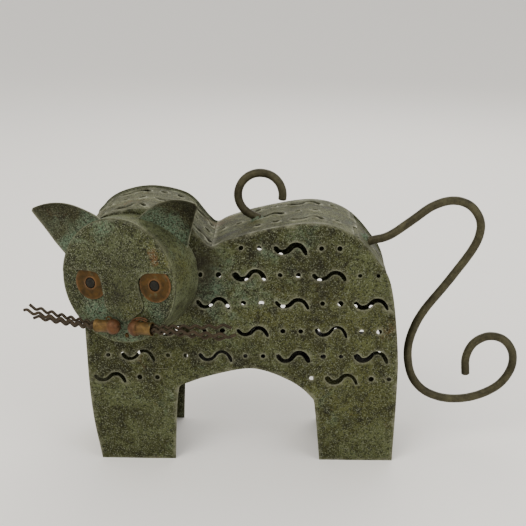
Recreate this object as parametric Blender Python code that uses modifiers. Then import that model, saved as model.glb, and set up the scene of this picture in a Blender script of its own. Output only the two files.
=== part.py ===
"""Pierced sheet-metal cat lantern with a hinged back lid, a curl handle and a wire tail.

The body is two flat side panels, joined round the back by bent strips. The lid is the
strip over the middle of the back, and opens on a pinned hinge in front of the tail. The
head is a shallow drum, cut on the slant and fixed to the front corner of the left panel.
Frame: X along the body (head at -X), Y across it (left panel at -Y), Z up, floor at zero.
"""
import math

import bmesh
import bpy
from mathutils import Matrix, Vector

MM = 0.001

# Body, overall
BODY_LENGTH = 186.4 * MM      # chest to rump
BODY_WIDTH = 56.0 * MM        # across the outer faces of the side panels
SHOULDER_HEIGHT = 160.4 * MM
SADDLE_HEIGHT = 137.6 * MM
RUMP_HEIGHT = 152.0 * MM
BELLY_HEIGHT = 60.5 * MM      # top of the arch between the legs
FRONT_LEG_WIDTH = 45.5 * MM   # at the floor
REAR_LEG_WIDTH = 44.8 * MM
SHEET = 1.0 * MM              # panels, strips and lid
STRIP_RECESS = 1.3 * MM       # the fixed strips lie this far below the panel edges
GAP = 0.3 * MM                # clearance between neighbouring pieces
LID_SIDE_GAP = 0.5 * MM       # free play of the lid between the panels
LID_LAP = 4.0 * MM            # the lid's front edge rests on this much of the chest strip

# Where the strips and the lid meet, measured from the body's two ends
SADDLE_FROM_FRONT = 76.0 * MM
HINGE_FROM_REAR = 26.5 * MM

# Hinge of the lid
PIN_RADIUS = 0.8 * MM
PIN_PLAY = 0.3 * MM
BARREL_CLEARANCE = 0.4 * MM   # between the knuckles and the sheets on both sides
KNUCKLE_WALL = 0.8 * MM
LID_KNUCKLE_LENGTH = 18.0 * MM
LEAF_LENGTH = 7.0 * MM
LEAF_SHEET = 0.55 * MM

# Punched pattern: rows of S slots with two round holes between neighbours
SLOT_LENGTH = 19.0 * MM
SLOT_WIDTH = 2.3 * MM
SLOT_WAVE = 2.4 * MM          # height of the S above and below its row
SLOT_DROP = 2.6 * MM          # fall of its last end
DOT_RADIUS = 1.4 * MM
PATTERN_PITCH = 46.5 * MM     # from one S to the next in a row
DOT_OFFSET = 5.3 * MM         # of each hole from the middle between two S slots
EDGE_MARGIN = 2.4 * MM        # metal left between a hole and the panel's edge
PANEL_ROWS = (                # depth below the rump's top, place of one S from mid-body
    (15.0 * MM, 28.3 * MM),
    (31.4 * MM, 4.5 * MM),
    (48.8 * MM, 29.5 * MM),
    (66.5 * MM, 6.3 * MM),
    (82.6 * MM, 30.5 * MM),
    (97.0 * MM, 59.6 * MM),
)
FAR_ROWS_LOWER = 5.2 * MM     # the right panel's rows lie this much below the left's
STRIP_ROW_OFFSET = 16.5 * MM  # of the outer rows from the strip's middle
LID_ROWS = (                  # offset from the middle, place of one S behind the saddle seam
    (STRIP_ROW_OFFSET, 57.0 * MM),
    (0.0, 34.0 * MM),
    (-STRIP_ROW_OFFSET, 56.0 * MM),
)
CHEST_ROWS_LEAD = 67.4 * MM   # the chest strip's rows run this far ahead of the lid's
REAR_ROW_PLACE = 30.0 * MM    # one S of the rear strip's middle row, behind the hinge
STRIP_ROWS_BEFORE_SADDLE = 105.0 * MM  # length of the chest strip that is pierced
STRIP_ROWS_BEHIND_HINGE = 60.0 * MM    # and of the rear strip
MIN_BEND = math.radians(1.2)  # a strip is straight where it turns less than this

# Handle and tail
HANDLE_ROD_RADIUS = 2.5 * MM
HANDLE_CURL_RADIUS = 13.3 * MM
HANDLE_FROM_SADDLE = 28.8 * MM
TAIL_ROD_RADIUS = 2.6 * MM
TAIL_ROOT_DROP = 8.5 * MM     # height of the tail's root below the hinge pin

# Tray and candle cup inside the body
TRAY_LENGTH = 110.0 * MM
TRAY_FLANGE = 6.0 * MM
TRAY_ABOVE_BELLY = 2.0 * MM
CANDLE_RADIUS = 19.8 * MM
CUP_WALL = 0.8 * MM
CUP_HEIGHT = 9.0 * MM

# Head: a drum cut on the slant
HEAD_RADIUS = 36.5 * MM
HEAD_CENTRE_FROM_FRONT = 23.0 * MM
HEAD_CENTRE_HEIGHT = 121.1 * MM
HEAD_STANDOFF = 15.5 * MM     # face centre ahead of the left panel
HEAD_TURN = 21.0              # degrees, towards the front of the body
HEAD_LIFT = 3.0               # degrees, face looking up
HEAD_ROLL = 5.0               # degrees
BAND_LONGEST = 60.0 * MM      # before the band is cut to the panel
BROW_GAP = 0.3 * MM           # between face, eye washers and brow plate
WASHER_SHEET = 0.8 * MM
EYE_RADIUS = 10.0 * MM
EYE_HOLE_RADIUS = 3.3 * MM
PUPIL_RADIUS = 2.9 * MM
PUPIL_RISE = 2.0 * MM
EYE_SPACING = 41.7 * MM
FEATURE_SHIFT = 3.9 * MM      # middle of the features, to the right of the disc's centre
EYE_HEIGHT = -0.8 * MM
NOSE_LENGTH = 22.7 * MM
NOSE_HALF_WIDTH = 12.4 * MM
BROW_EDGE = 6.2 * MM          # height of the brow plate's lower edge
MUZZLE_RADIUS = 4.2 * MM
MUZZLE_WALL = 0.7 * MM
MUZZLE_LENGTH = 15.5 * MM
MUZZLE_SPACING = 5.6 * MM     # between the two domed ends
MUZZLE_HEIGHT = -25.0 * MM
CHIN_RIVET_RADIUS = 1.4 * MM
EAR_SHEET = 0.8 * MM
EAR_BULGE = 5.5 * MM
EAR_CAMBER = 3.0 * MM
EAR_STANDOFF = 0.9 * MM       # middle of the ear's sheet above the band's outside

# Whiskers: crimped wires
WHISKER_RADIUS = 0.65 * MM
WHISKER_CRIMP = 1.0 * MM
WHISKER_WAVE = 6.0 * MM
WHISKER_ROOT = 1.4 * MM       # of each wire from the muzzle's middle line
WHISKER_SEAT = 3.0 * MM       # how far each wire reaches into its cap
WHISKER_LEAD = 14.0 * MM      # length over which it bends away from the cap's axis
WHISKER_RAMP = 4.0 * MM       # length over which the crimp grows outside the cap

FRONT = -BODY_LENGTH / 2
REAR = BODY_LENGTH / 2


def clear_scene():
    for old in list(bpy.data.objects):
        bpy.data.objects.remove(old, do_unlink=True)


def make_collection(name):
    collection = bpy.data.collections.new(name)
    bpy.context.scene.collection.children.link(collection)
    return collection


def metal(name, colour, roughness, metallic):
    material = bpy.data.materials.new(name)
    material.use_nodes = True
    shader = material.node_tree.nodes["Principled BSDF"]
    shader.inputs["Base Color"].default_value = (*colour, 1.0)
    shader.inputs["Roughness"].default_value = roughness
    shader.inputs["Metallic"].default_value = metallic
    return material


def add_object(name, data, material, parent, collection, matrix=None):
    piece = bpy.data.objects.new(name, data)
    collection.objects.link(piece)
    piece.parent = parent
    if matrix is not None:
        piece.matrix_local = matrix
    data.materials.append(material)
    return piece


# --- curves and outlines

def smooth_path(points, steps):
    """Catmull-Rom curve through the points, with the first and last repeated."""
    knots = [Vector(p) for p in points]
    knots = [2 * knots[0] - knots[1]] + knots + [2 * knots[-1] - knots[-2]]
    path = []
    for i in range(1, len(knots) - 2):
        before, a, b, after = knots[i - 1:i + 3]
        for k in range(steps):
            t = k / steps
            path.append(0.5 * (2 * a + (b - before) * t
                               + (2 * before - 5 * a + 4 * b - after) * t * t
                               + (3 * a - before - 3 * b + after) * t ** 3))
    path.append(knots[-2])
    return path


def circle(radius, sides, centre=(0.0, 0.0)):
    return [Vector((centre[0] + radius * math.cos(2 * math.pi * k / sides),
                    centre[1] + radius * math.sin(2 * math.pi * k / sides))) for k in range(sides)]


def s_slot(centre, stations=4):
    """Closed outline of one S slot: left end high, a trough, a crest, and a fall at the right."""
    def middle(t):
        sway = -SLOT_WAVE * math.sin(2 * math.pi * t * 1.06) * 0.85
        fall = -SLOT_DROP * max(0.0, (t - 0.7) / 0.3) ** 2
        lift = SLOT_WAVE * 0.5 * max(0.0, 1 - t / 0.2)
        return Vector((centre[0] + (t - 0.5) * SLOT_LENGTH, centre[1] + sway + fall + lift))

    upper, lower = [], []
    for k in range(stations + 1):
        t = k / stations
        here = middle(t)
        along = (middle(min(1.0, t + 0.02)) - middle(max(0.0, t - 0.02))).normalized()
        side = Vector((-along.y, along.x))
        taper = 0.35 if k in (0, stations) else 1.0
        upper.append(here + side * SLOT_WIDTH / 2 * taper)
        lower.append(here - side * SLOT_WIDTH / 2 * taper)
    return upper + lower[::-1]


def flat_solid(outline, holes, thickness):
    """Mesh of a flat plate in XY, centred on Z, with holes right through."""
    curve = bpy.data.curves.new("plate", "CURVE")
    curve.dimensions = "2D"
    curve.fill_mode = "BOTH"
    curve.extrude = thickness / 2
    for loop in [outline] + holes:
        spline = curve.splines.new("POLY")
        spline.points.add(len(loop) - 1)
        for point, at in zip(spline.points, loop):
            point.co = (at[0], at[1], 0.0, 1.0)
        spline.use_cyclic_u = True
    return curve_to_mesh(curve)


def rod_solid(points, radius, sides_level):
    """Mesh of a round rod along a line of points."""
    curve = bpy.data.curves.new("rod", "CURVE")
    curve.dimensions = "3D"
    curve.bevel_depth = radius
    curve.bevel_resolution = sides_level
    curve.use_fill_caps = True
    spline = curve.splines.new("POLY")
    spline.points.add(len(points) - 1)
    for point, at in zip(spline.points, points):
        point.co = (*at, 1.0)
    mesh = curve_to_mesh(curve)
    mesh.shade_smooth()
    mesh.set_sharp_from_angle(angle=math.radians(50))
    return mesh


def curve_to_mesh(curve):
    guide = bpy.data.objects.new("guide", curve)
    bpy.context.scene.collection.objects.link(guide)
    bpy.context.view_layer.update()
    evaluated = guide.evaluated_get(bpy.context.evaluated_depsgraph_get())
    mesh = bpy.data.meshes.new_from_object(evaluated)
    bpy.data.objects.remove(guide)
    work = bmesh.new()
    work.from_mesh(mesh)
    bmesh.ops.remove_doubles(work, verts=work.verts, dist=0.00001)
    bmesh.ops.recalc_face_normals(work, faces=work.faces)
    work.to_mesh(mesh)
    work.free()
    return mesh


def turned_solid(profile, sides, name):
    """Closed profile of (radius, height) points turned about Z."""
    work = bmesh.new()
    ring = [work.verts.new((radius, 0.0, height)) for radius, height in profile]
    edges = [work.edges.new((ring[k], ring[k + 1])) for k in range(len(ring) - 1)]
    bmesh.ops.spin(work, geom=ring + edges, axis=(0, 0, 1), cent=(0, 0, 0), steps=sides,
                   angle=2 * math.pi, use_merge=True)
    bmesh.ops.remove_doubles(work, verts=work.verts, dist=0.00001)
    bmesh.ops.recalc_face_normals(work, faces=work.faces)
    mesh = bpy.data.meshes.new(name)
    work.to_mesh(mesh)
    work.free()
    mesh.shade_smooth()
    mesh.set_sharp_from_angle(angle=math.radians(35))
    return mesh


# --- the body's side outline, in (X, Z)

def back_line():
    """From the front toe, over the shoulder, saddle and rump, to the rear heel."""
    saddle = FRONT + SADDLE_FROM_FRONT
    return smooth_path([
        (FRONT + 6.1 * MM, 0.0),
        (FRONT + 1.6 * MM, 32 * MM),
        (FRONT, BELLY_HEIGHT + 10 * MM),
        (FRONT, SHOULDER_HEIGHT - 26 * MM),
        (FRONT + 4.5 * MM, SHOULDER_HEIGHT - 13 * MM),
        (FRONT + 16 * MM, SHOULDER_HEIGHT - 4 * MM),
        (FRONT + 36 * MM, SHOULDER_HEIGHT),
        (FRONT + 58 * MM, SHOULDER_HEIGHT - 5 * MM),
        (saddle - 6 * MM, SADDLE_HEIGHT + 4.8 * MM),
        (saddle, SADDLE_HEIGHT),
        (saddle + 8 * MM, SADDLE_HEIGHT + 3.6 * MM),
        (saddle + 28 * MM, RUMP_HEIGHT - 4.8 * MM),
        (REAR - 52 * MM, RUMP_HEIGHT),
        (REAR - 30 * MM, RUMP_HEIGHT - 6 * MM),
        (REAR - 14 * MM, RUMP_HEIGHT - 22.5 * MM),
        (REAR - 5.5 * MM, RUMP_HEIGHT - 39 * MM),
        (REAR - 0.5 * MM, BELLY_HEIGHT + 14 * MM),
        (REAR, 45 * MM),
        (REAR - 1.2 * MM, 0.0),
    ], 3)


def belly_line():
    """From the rear leg's inner foot, over the arch, to the front leg's inner foot."""
    rear_foot = REAR - 1.2 * MM - REAR_LEG_WIDTH
    front_foot = FRONT + 6.1 * MM + FRONT_LEG_WIDTH
    return smooth_path([
        (rear_foot, 0.0),
        (rear_foot - 3.2 * MM, BELLY_HEIGHT - 26 * MM),
        (rear_foot - 5.6 * MM, BELLY_HEIGHT - 18 * MM),
        (rear_foot - 17 * MM, BELLY_HEIGHT - 8 * MM),
        (rear_foot - 36 * MM, BELLY_HEIGHT),
        (front_foot + 36 * MM, BELLY_HEIGHT - 0.6 * MM),
        (front_foot + 8.5 * MM, BELLY_HEIGHT - 9 * MM),
        (front_foot + 2.6 * MM, BELLY_HEIGHT - 17 * MM),
        (front_foot, 0.0),
    ], 3)


class BentLine:
    """The back line measured by its length, for pieces bent to follow it."""

    def __init__(self, points):
        self.points = points
        self.length = [0.0]
        for a, b in zip(points, points[1:]):
            self.length.append(self.length[-1] + (b - a).length)
        tangents = [(b - a).normalized() for a, b in zip(points, points[1:])]
        tangents = [tangents[0]] + tangents + [tangents[-1]]
        self.normal = []
        self.turning = []
        for before, after in zip(tangents, tangents[1:]):
            self.turning.append(before.angle(after))
            mean = (before + after).normalized()
            stretch = 1 / max(0.5, mean.dot(after))
            self.normal.append(Vector((-mean.y, mean.x)) * stretch)

    def at(self, s, rise):
        """Point at length s along the line, lifted outwards by rise."""
        k = 0
        while k < len(self.points) - 2 and self.length[k + 1] < s:
            k += 1
        t = (s - self.length[k]) / (self.length[k + 1] - self.length[k])
        here = self.points[k].lerp(self.points[k + 1], t)
        return here + self.normal[k].lerp(self.normal[k + 1], t) * rise

    def where_x(self, x, start):
        """Length at which the line, past start, first reaches x."""
        for k in range(len(self.points) - 1):
            a, b = self.points[k], self.points[k + 1]
            if self.length[k] >= start and a.x <= x <= b.x:
                return self.length[k] + (x - a.x) / (b.x - a.x) * (self.length[k + 1] - self.length[k])
        return self.length[-1]


def distance_to_loop(point, loop):
    nearest = 1.0
    for k, a in enumerate(loop):
        side = loop[(k + 1) % len(loop)] - a
        t = max(0.0, min(1.0, (point - a).dot(side) / max(side.length_squared, 1e-12)))
        nearest = min(nearest, (a + side * t - point).length)
    return nearest


def inside_loop(point, loop):
    inside = False
    for k, a in enumerate(loop):
        b = loop[(k + 1) % len(loop)]
        if (a.y > point.y) != (b.y > point.y):
            if point.x < a.x + (b.x - a.x) * (point.y - a.y) / (b.y - a.y):
                inside = not inside
    return inside


def fits(hole, loop):
    return all(inside_loop(p, loop) and distance_to_loop(p, loop) > EDGE_MARGIN for p in hole)


def punched_row(height, place, start, end, loop):
    """S slots and hole pairs along one row, kept where the metal is wide enough."""
    holes = []
    first = math.floor((start - place) / PATTERN_PITCH) - 1
    last = math.ceil((end - place) / PATTERN_PITCH) + 1
    for k in range(first, last + 1):
        centre = place + k * PATTERN_PITCH
        candidates = [s_slot((centre, height))]
        for side in (-1, 1):
            dot_x = centre + PATTERN_PITCH / 2 + side * DOT_OFFSET
            candidates.append(circle(DOT_RADIUS, 6, (dot_x, height)))
        holes += [hole for hole in candidates if fits(hole, loop)]
    return holes


def bent_strip(line, start, end, width, top, rows, pierced):
    """Strip of sheet along the back line, its outer face at the rise `top`.

    Its rows of holes keep to the lengths between the two given by `pierced`.
    """
    outline = [Vector((start, -width / 2)), Vector((end, -width / 2)),
               Vector((end, width / 2)), Vector((start, width / 2))]
    holes = []
    for across, place in rows:
        row = punched_row(across, place, start, end, outline)
        holes += [hole for hole in row if pierced[0] < min(p.x for p in hole)
                  and max(p.x for p in hole) < pierced[1]]
    mesh = flat_solid(outline, holes, SHEET)
    work = bmesh.new()
    work.from_mesh(mesh)
    for k, s in enumerate(line.length):
        bends = line.turning[k] > MIN_BEND
        if bends and start + 0.0002 < s < end - 0.0002:
            bmesh.ops.bisect_plane(work, geom=work.verts[:] + work.edges[:] + work.faces[:],
                                   plane_co=(s, 0, 0), plane_no=(1, 0, 0), dist=0.000001)
    for vert in work.verts:
        place = line.at(vert.co.x, top - SHEET / 2 + vert.co.z)
        vert.co = Vector((place.x, -vert.co.y, place.y))
    bmesh.ops.triangulate(work, faces=work.faces)
    bmesh.ops.recalc_face_normals(work, faces=work.faces)
    work.to_mesh(mesh)
    work.free()
    mesh.shade_smooth()
    mesh.set_sharp_from_angle(angle=math.radians(35))
    return mesh


# --- pieces of the body

STAND_UP = Matrix.Rotation(math.radians(90), 4, "X")   # plate in XY to plate in XZ


def make_side_panels(body, metals, collection):
    outline = back_line() + belly_line()
    for name, side, lower in (("side_panel_left", -1, 0.0), ("side_panel_right", 1, FAR_ROWS_LOWER)):
        holes = []
        for depth, place in PANEL_ROWS:
            holes += punched_row(RUMP_HEIGHT - depth - lower, place, FRONT, REAR, outline)
        mesh = flat_solid(outline, holes, SHEET)
        middle = Matrix.Translation((0, side * (BODY_WIDTH - SHEET) / 2, 0))
        add_object(name, mesh, metals["patina"], body, collection, middle @ STAND_UP)


def make_back(body, lid_axis, line, seam, metals, collection):
    """Chest strip, rear strip and the lid between them."""
    inner = BODY_WIDTH - 2 * SHEET
    lid_start = seam["lid_start"]
    hinge = seam["hinge"]
    clear = knuckle_radius() + BARREL_CLEARANCE
    lid_end = hinge - clear
    lid_rows = [(across, lid_start + place) for across, place in LID_ROWS]
    chest_rows = [(across, place - CHEST_ROWS_LEAD) for across, place in lid_rows]
    rear_rows = [(across, hinge + REAR_ROW_PLACE + across) for across, _ in LID_ROWS]
    chest = bent_strip(line, line.length[0], lid_start + LID_LAP, inner - 2 * GAP, -STRIP_RECESS,
                       chest_rows, (lid_start - STRIP_ROWS_BEFORE_SADDLE, lid_start))
    add_object("chest_strip", chest, metals["patina"], body, collection)
    rear = bent_strip(line, hinge + clear, line.length[-1], inner - 2 * GAP, -STRIP_RECESS,
                      rear_rows, (hinge + clear + LEAF_LENGTH, hinge + STRIP_ROWS_BEHIND_HINGE))
    add_object("rear_strip", rear, metals["patina"], body, collection)
    lid = bent_strip(line, lid_start, lid_end, inner - 2 * LID_SIDE_GAP, 0.0,
                     lid_rows, (lid_start, lid_end - LEAF_LENGTH))
    lid.transform(Matrix.Translation(-lid_axis.location))
    add_object("back_lid", lid, metals["patina"], lid_axis, collection)


def knuckle_radius():
    return PIN_RADIUS + PIN_PLAY + KNUCKLE_WALL


def knuckle(length, line, hinge, pin, side, top):
    """Rolled barrel with a leaf that follows the underside of its sheet; side -1 is the lid's."""
    radius = knuckle_radius()

    def leaf_point(reach, rise):
        return line.at(hinge + side * reach, rise) - pin

    def on_barrel(rise):
        height = rise + STRIP_RECESS
        along = math.sqrt(max(0.0, radius * radius - height * height))
        at = leaf_point(along, rise)
        return at * (radius / at.length)

    low = top - LEAF_SHEET
    first, last = on_barrel(low), on_barrel(top)
    start, end = math.atan2(first.y, first.x), math.atan2(last.y, last.x)
    sweep = (end - start) * side % (2 * math.pi) * side
    sweep -= side * 2 * math.pi
    steps = 14
    outline = [Vector((radius * math.cos(end - sweep * k / steps),
                       radius * math.sin(end - sweep * k / steps))) for k in range(steps + 1)]
    reaches = [radius + LEAF_LENGTH * k / 3 for k in range(4)]
    outline += [leaf_point(reach, low) for reach in reaches]
    outline += [leaf_point(reach, top) for reach in reversed(reaches)]
    return flat_solid(outline, [circle(PIN_RADIUS + PIN_PLAY, 12)], length)


def make_hinge(body, lid_axis, line, seam, metals, collection):
    pin_at = line.at(seam["hinge"], -STRIP_RECESS)
    pin_length = BODY_WIDTH - 2 * SHEET - 4 * GAP
    side_length = (pin_length - LID_KNUCKLE_LENGTH) / 2 - 2 * GAP
    centre = knuckle(LID_KNUCKLE_LENGTH, line, seam["hinge"], pin_at, -1, -SHEET - GAP)
    add_object("hinge_knuckle_lid", centre, metals["iron"], lid_axis, collection, STAND_UP)
    for name, side in (("hinge_knuckle_left", -1), ("hinge_knuckle_right", 1)):
        middle = side * (LID_KNUCKLE_LENGTH / 2 + GAP + side_length / 2)
        place = Matrix.Translation(lid_axis.location + Vector((0, middle, 0)))
        mesh = knuckle(side_length, line, seam["hinge"], pin_at, 1, -STRIP_RECESS - SHEET - GAP)
        add_object(name, mesh, metals["iron"], body, collection, place @ STAND_UP)
    pin = turned_solid([(0, -pin_length / 2), (PIN_RADIUS, -pin_length / 2),
                        (PIN_RADIUS, pin_length / 2), (0, pin_length / 2)], 12, "hinge_pin")
    add_object("hinge_pin", pin, metals["iron"], body, collection,
               Matrix.Translation(lid_axis.location) @ STAND_UP)


def cut_to_surface(mesh, point, up):
    """Cuts a rod's end off at a plane near a point, both in (X, Z), and closes it."""
    work = bmesh.new()
    work.from_mesh(mesh)
    centre = Vector((point.x, 0, point.y))
    faces = [f for f in work.faces if (f.calc_center_median() - centre).length < 12 * MM]
    edges = [e for e in work.edges if any(f in faces for f in e.link_faces)]
    verts = [v for v in work.verts if any(f in faces for f in v.link_faces)]
    cut = bmesh.ops.bisect_plane(work, geom=verts + edges + faces, plane_co=centre,
                                 plane_no=(up.x, 0, up.y), clear_inner=True)
    rim = [edge for edge in cut["geom_cut"] if isinstance(edge, bmesh.types.BMEdge)]
    bmesh.ops.holes_fill(work, edges=rim, sides=0)
    bmesh.ops.triangulate(work, faces=[f for f in work.faces if len(f.verts) > 4])
    bmesh.ops.recalc_face_normals(work, faces=work.faces)
    work.to_mesh(mesh)
    work.free()


def make_handle(lid_axis, line, seam, metals, collection):
    """Open curl of rod, its foot cut to the slope of the lid it stands on."""
    foot_s = seam["lid_start"] + HANDLE_FROM_SADDLE
    foot = line.at(foot_s, GAP)
    up = (line.at(foot_s, 0.01) - line.at(foot_s, 0.0)).normalized()
    low = foot.y + HANDLE_ROD_RADIUS * 0.45
    centre = Vector((foot.x + 0.5 * MM, low + HANDLE_CURL_RADIUS))
    points = []
    for k in range(25):
        angle = math.radians(-12 + 256 * k / 24)
        points.append((centre.x + HANDLE_CURL_RADIUS * math.cos(angle), 0.0,
                       centre.y + HANDLE_CURL_RADIUS * math.sin(angle)))
    points.append((foot.x - 1.2 * MM, 0.0, low - 0.6 * MM))
    points.append((foot.x + 2.5 * MM, 0.0, foot.y - HANDLE_ROD_RADIUS * 1.6))
    mesh = rod_solid(points, HANDLE_ROD_RADIUS, 2)
    cut_to_surface(mesh, foot, up)
    mesh.transform(Matrix.Translation(-lid_axis.location))
    add_object("curl_handle", mesh, metals["rod"], lid_axis, collection)


def make_tail(body, lid_axis, line, seam, metals, collection):
    """S-shaped rod from the rump, ending in an inward curl."""
    root_s = seam["hinge"]
    while line.at(root_s, 0.0).y > lid_axis.location.z - TAIL_ROOT_DROP:
        root_s += 0.5 * MM
    root = line.at(root_s, 0.0)
    route = ((-6, -1.2), (0, 0), (11.5, 3), (25, 12.5), (37, 21.5), (48.5, 25), (58.5, 22.5),
             (65, 15), (66.3, 6), (62, -6), (48, -27), (33, -48.5), (26.6, -68), (28.5, -86),
             (36, -97.5), (47.5, -103.3), (61, -104.3), (74, -101), (85, -94), (91.3, -83.5),
             (91.5, -72.5), (85.5, -64), (76, -61.7), (67, -66.5), (62.8, -76), (63.2, -87))
    knots = [Vector((root.x + dx * MM, 0.0, root.y + dz * MM)) for dx, dz in route]
    mesh = rod_solid(smooth_path(knots, 3), TAIL_ROD_RADIUS, 2)
    up = (line.at(root_s, 0.01) - line.at(root_s, 0.0)).normalized()
    cut_to_surface(mesh, line.at(root_s, GAP - STRIP_RECESS), up)
    add_object("tail_rod", mesh, metals["rod"], body, collection)


def make_tray(body, seam, line, metals, collection):
    """Bent tray across the belly, with the candle cup under the lid's middle."""
    under_lid = (line.at(seam["lid_start"], 0.0).x + line.at(seam["hinge"], 0.0).x) / 2
    floor = BELLY_HEIGHT + TRAY_ABOVE_BELLY
    half = TRAY_LENGTH / 2
    outline = [Vector(p) for p in ((-half, 0), (half, 0), (half, TRAY_FLANGE),
                                   (half - SHEET, TRAY_FLANGE), (half - SHEET, SHEET),
                                   (SHEET - half, SHEET), (SHEET - half, TRAY_FLANGE),
                                   (-half, TRAY_FLANGE))]
    mesh = flat_solid(outline, [], BODY_WIDTH - 2 * SHEET - 2 * GAP)
    add_object("belly_tray", mesh, metals["inside"], body, collection,
               Matrix.Translation((under_lid, 0, floor)) @ STAND_UP)
    outer = CANDLE_RADIUS + CUP_WALL
    cup = turned_solid([(0, CUP_WALL), (CANDLE_RADIUS, CUP_WALL), (CANDLE_RADIUS, CUP_HEIGHT),
                        (outer, CUP_HEIGHT), (outer, 0), (0, 0)], 32, "candle_cup")
    add_object("candle_cup", cup, metals["inside"], body, collection,
               Matrix.Translation((under_lid, 0, floor + SHEET + GAP)))


# --- the head, in its own frame: X to the viewer's right, Y into the head, Z up

def on_face(depth):
    """Places a plate drawn in XY upright in the head, its front face at the depth."""
    return Matrix.Translation((0, depth, 0)) @ STAND_UP


def make_head_shell(head, metals, collection):
    disc = flat_solid(circle(HEAD_RADIUS, 56), [], SHEET)
    add_object("face_disc", disc, metals["patina"], head, collection, on_face(SHEET / 2))
    radius = HEAD_RADIUS - SHEET / 2
    work = bmesh.new()
    bmesh.ops.create_cone(work, cap_ends=False, segments=48, radius1=radius, radius2=radius,
                          depth=BAND_LONGEST, matrix=STAND_UP)
    bmesh.ops.translate(work, verts=work.verts, vec=(0, BAND_LONGEST / 2 + SHEET + GAP, 0))
    to_head = head.matrix_world.inverted()
    back = to_head @ Vector((0, -BODY_WIDTH / 2 - GAP, 0))
    outward = (to_head.to_3x3() @ Vector((0, 1, 0))).normalized()
    bmesh.ops.bisect_plane(work, geom=work.verts[:] + work.edges[:] + work.faces[:],
                           plane_co=back, plane_no=outward, clear_outer=True)
    bmesh.ops.recalc_face_normals(work, faces=work.faces)
    mesh = bpy.data.meshes.new("head_band")
    work.to_mesh(mesh)
    work.free()
    mesh.shade_smooth()
    band = add_object("head_band", mesh, metals["patina"], head, collection)
    wall = band.modifiers.new("wall", "SOLIDIFY")
    wall.thickness = SHEET
    wall.offset = 0


def brow_outline():
    """Forehead with a long nose: a piece of the face's circle, then the brow edge and nose."""
    radius = HEAD_RADIUS - 0.4 * MM
    turn = math.asin((BROW_EDGE + 0.2 * MM) / radius)
    arc = [Vector((radius * math.cos(a), radius * math.sin(a)))
           for a in (turn + (math.pi - 2 * turn) * k / 30 for k in range(31))]
    middle = FEATURE_SHIFT - 0.7 * MM
    nose = smooth_path([
        (middle - EYE_SPACING / 2 - 3 * MM, BROW_EDGE + 0.4 * MM),
        (middle - NOSE_HALF_WIDTH - 2.5 * MM, BROW_EDGE - 1.5 * MM),
        (middle - NOSE_HALF_WIDTH, -4.8 * MM),
        (middle - NOSE_HALF_WIDTH + 0.3 * MM, -NOSE_LENGTH + 8.3 * MM),
        (middle - NOSE_HALF_WIDTH * 0.65, -NOSE_LENGTH + 4.0 * MM),
        (middle, -NOSE_LENGTH),
        (middle + NOSE_HALF_WIDTH * 0.6, -NOSE_LENGTH + 3.4 * MM),
        (middle + NOSE_HALF_WIDTH, -NOSE_LENGTH + 8.3 * MM),
        (middle + NOSE_HALF_WIDTH - 0.8 * MM, -6.0 * MM),
        (middle + NOSE_HALF_WIDTH - 0.6 * MM, BROW_EDGE - 3.6 * MM),
        (middle + NOSE_HALF_WIDTH + 5.5 * MM, BROW_EDGE),
    ], 3)
    return arc + nose


def make_face(head, metals, collection):
    eye_depth = -BROW_GAP - WASHER_SHEET / 2
    brow_depth = -2 * BROW_GAP - WASHER_SHEET - SHEET / 2
    for name, side in (("left", 1), ("right", -1)):
        middle = FEATURE_SHIFT + side * EYE_SPACING / 2
        washer = flat_solid(circle(EYE_RADIUS, 32, (middle, EYE_HEIGHT)),
                            [circle(EYE_HOLE_RADIUS, 16, (middle, EYE_HEIGHT))], WASHER_SHEET)
        add_object("eye_washer_" + name, washer, metals["copper"], head, collection,
                   on_face(eye_depth))
        pupil = turned_solid([(0, 0), (PUPIL_RADIUS, 0), (PUPIL_RADIUS, PUPIL_RISE * 0.6),
                              (PUPIL_RADIUS * 0.75, PUPIL_RISE * 0.9), (0, PUPIL_RISE)],
                             16, "pupil")
        place = Matrix.Translation((middle, -BROW_GAP, EYE_HEIGHT)) @ STAND_UP
        add_object("eye_pupil_" + name, pupil, metals["iron"], head, collection, place)
    brow = flat_solid(brow_outline(), [], SHEET)
    add_object("brow_plate", brow, metals["patina"], head, collection, on_face(brow_depth))
    rivet = turned_solid([(0, 0), (CHIN_RIVET_RADIUS, 0), (CHIN_RIVET_RADIUS * 0.8, 0.6 * MM),
                          (0, 0.9 * MM)], 12, "chin_rivet")
    place = Matrix.Translation((FEATURE_SHIFT - 0.8 * MM, -GAP, MUZZLE_HEIGHT - 6.5 * MM))
    add_object("chin_rivet", rivet, metals["copper"], head, collection, place @ STAND_UP)


def muzzle_middle():
    """Middle line of the two muzzle caps, ahead of the brow plate."""
    brow_front = 2 * BROW_GAP + WASHER_SHEET + SHEET
    return Vector((FEATURE_SHIFT + 1.1 * MM, -brow_front - 3.0 * MM, MUZZLE_HEIGHT))


def make_muzzle(head, metals, collection):
    """Two bullet-shaped caps lying sideways, domed ends inwards, open ends outwards."""
    inner = MUZZLE_RADIUS - MUZZLE_WALL
    profile = [(0.0, 0.0)]
    for k in range(1, 5):
        angle = math.radians(90 * k / 4)
        profile.append((MUZZLE_RADIUS * math.sin(angle), MUZZLE_RADIUS * (1 - math.cos(angle))))
    profile += [(MUZZLE_RADIUS, MUZZLE_LENGTH), (inner, MUZZLE_LENGTH)]
    for k in range(4, -1, -1):
        angle = math.radians(90 * k / 4)
        profile.append((inner * math.sin(angle), MUZZLE_RADIUS - inner * math.cos(angle)))
    for name, side in (("left", 1), ("right", -1)):
        cap = turned_solid(profile, 20, "muzzle_cap")
        start = muzzle_middle() + Vector((side * MUZZLE_SPACING / 2, 0, 0))
        lie_down = Matrix.Rotation(math.radians(side * 90), 4, "Y")
        add_object("muzzle_cap_" + name, cap, metals["copper"], head, collection,
                   Matrix.Translation(start) @ lie_down)


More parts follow.
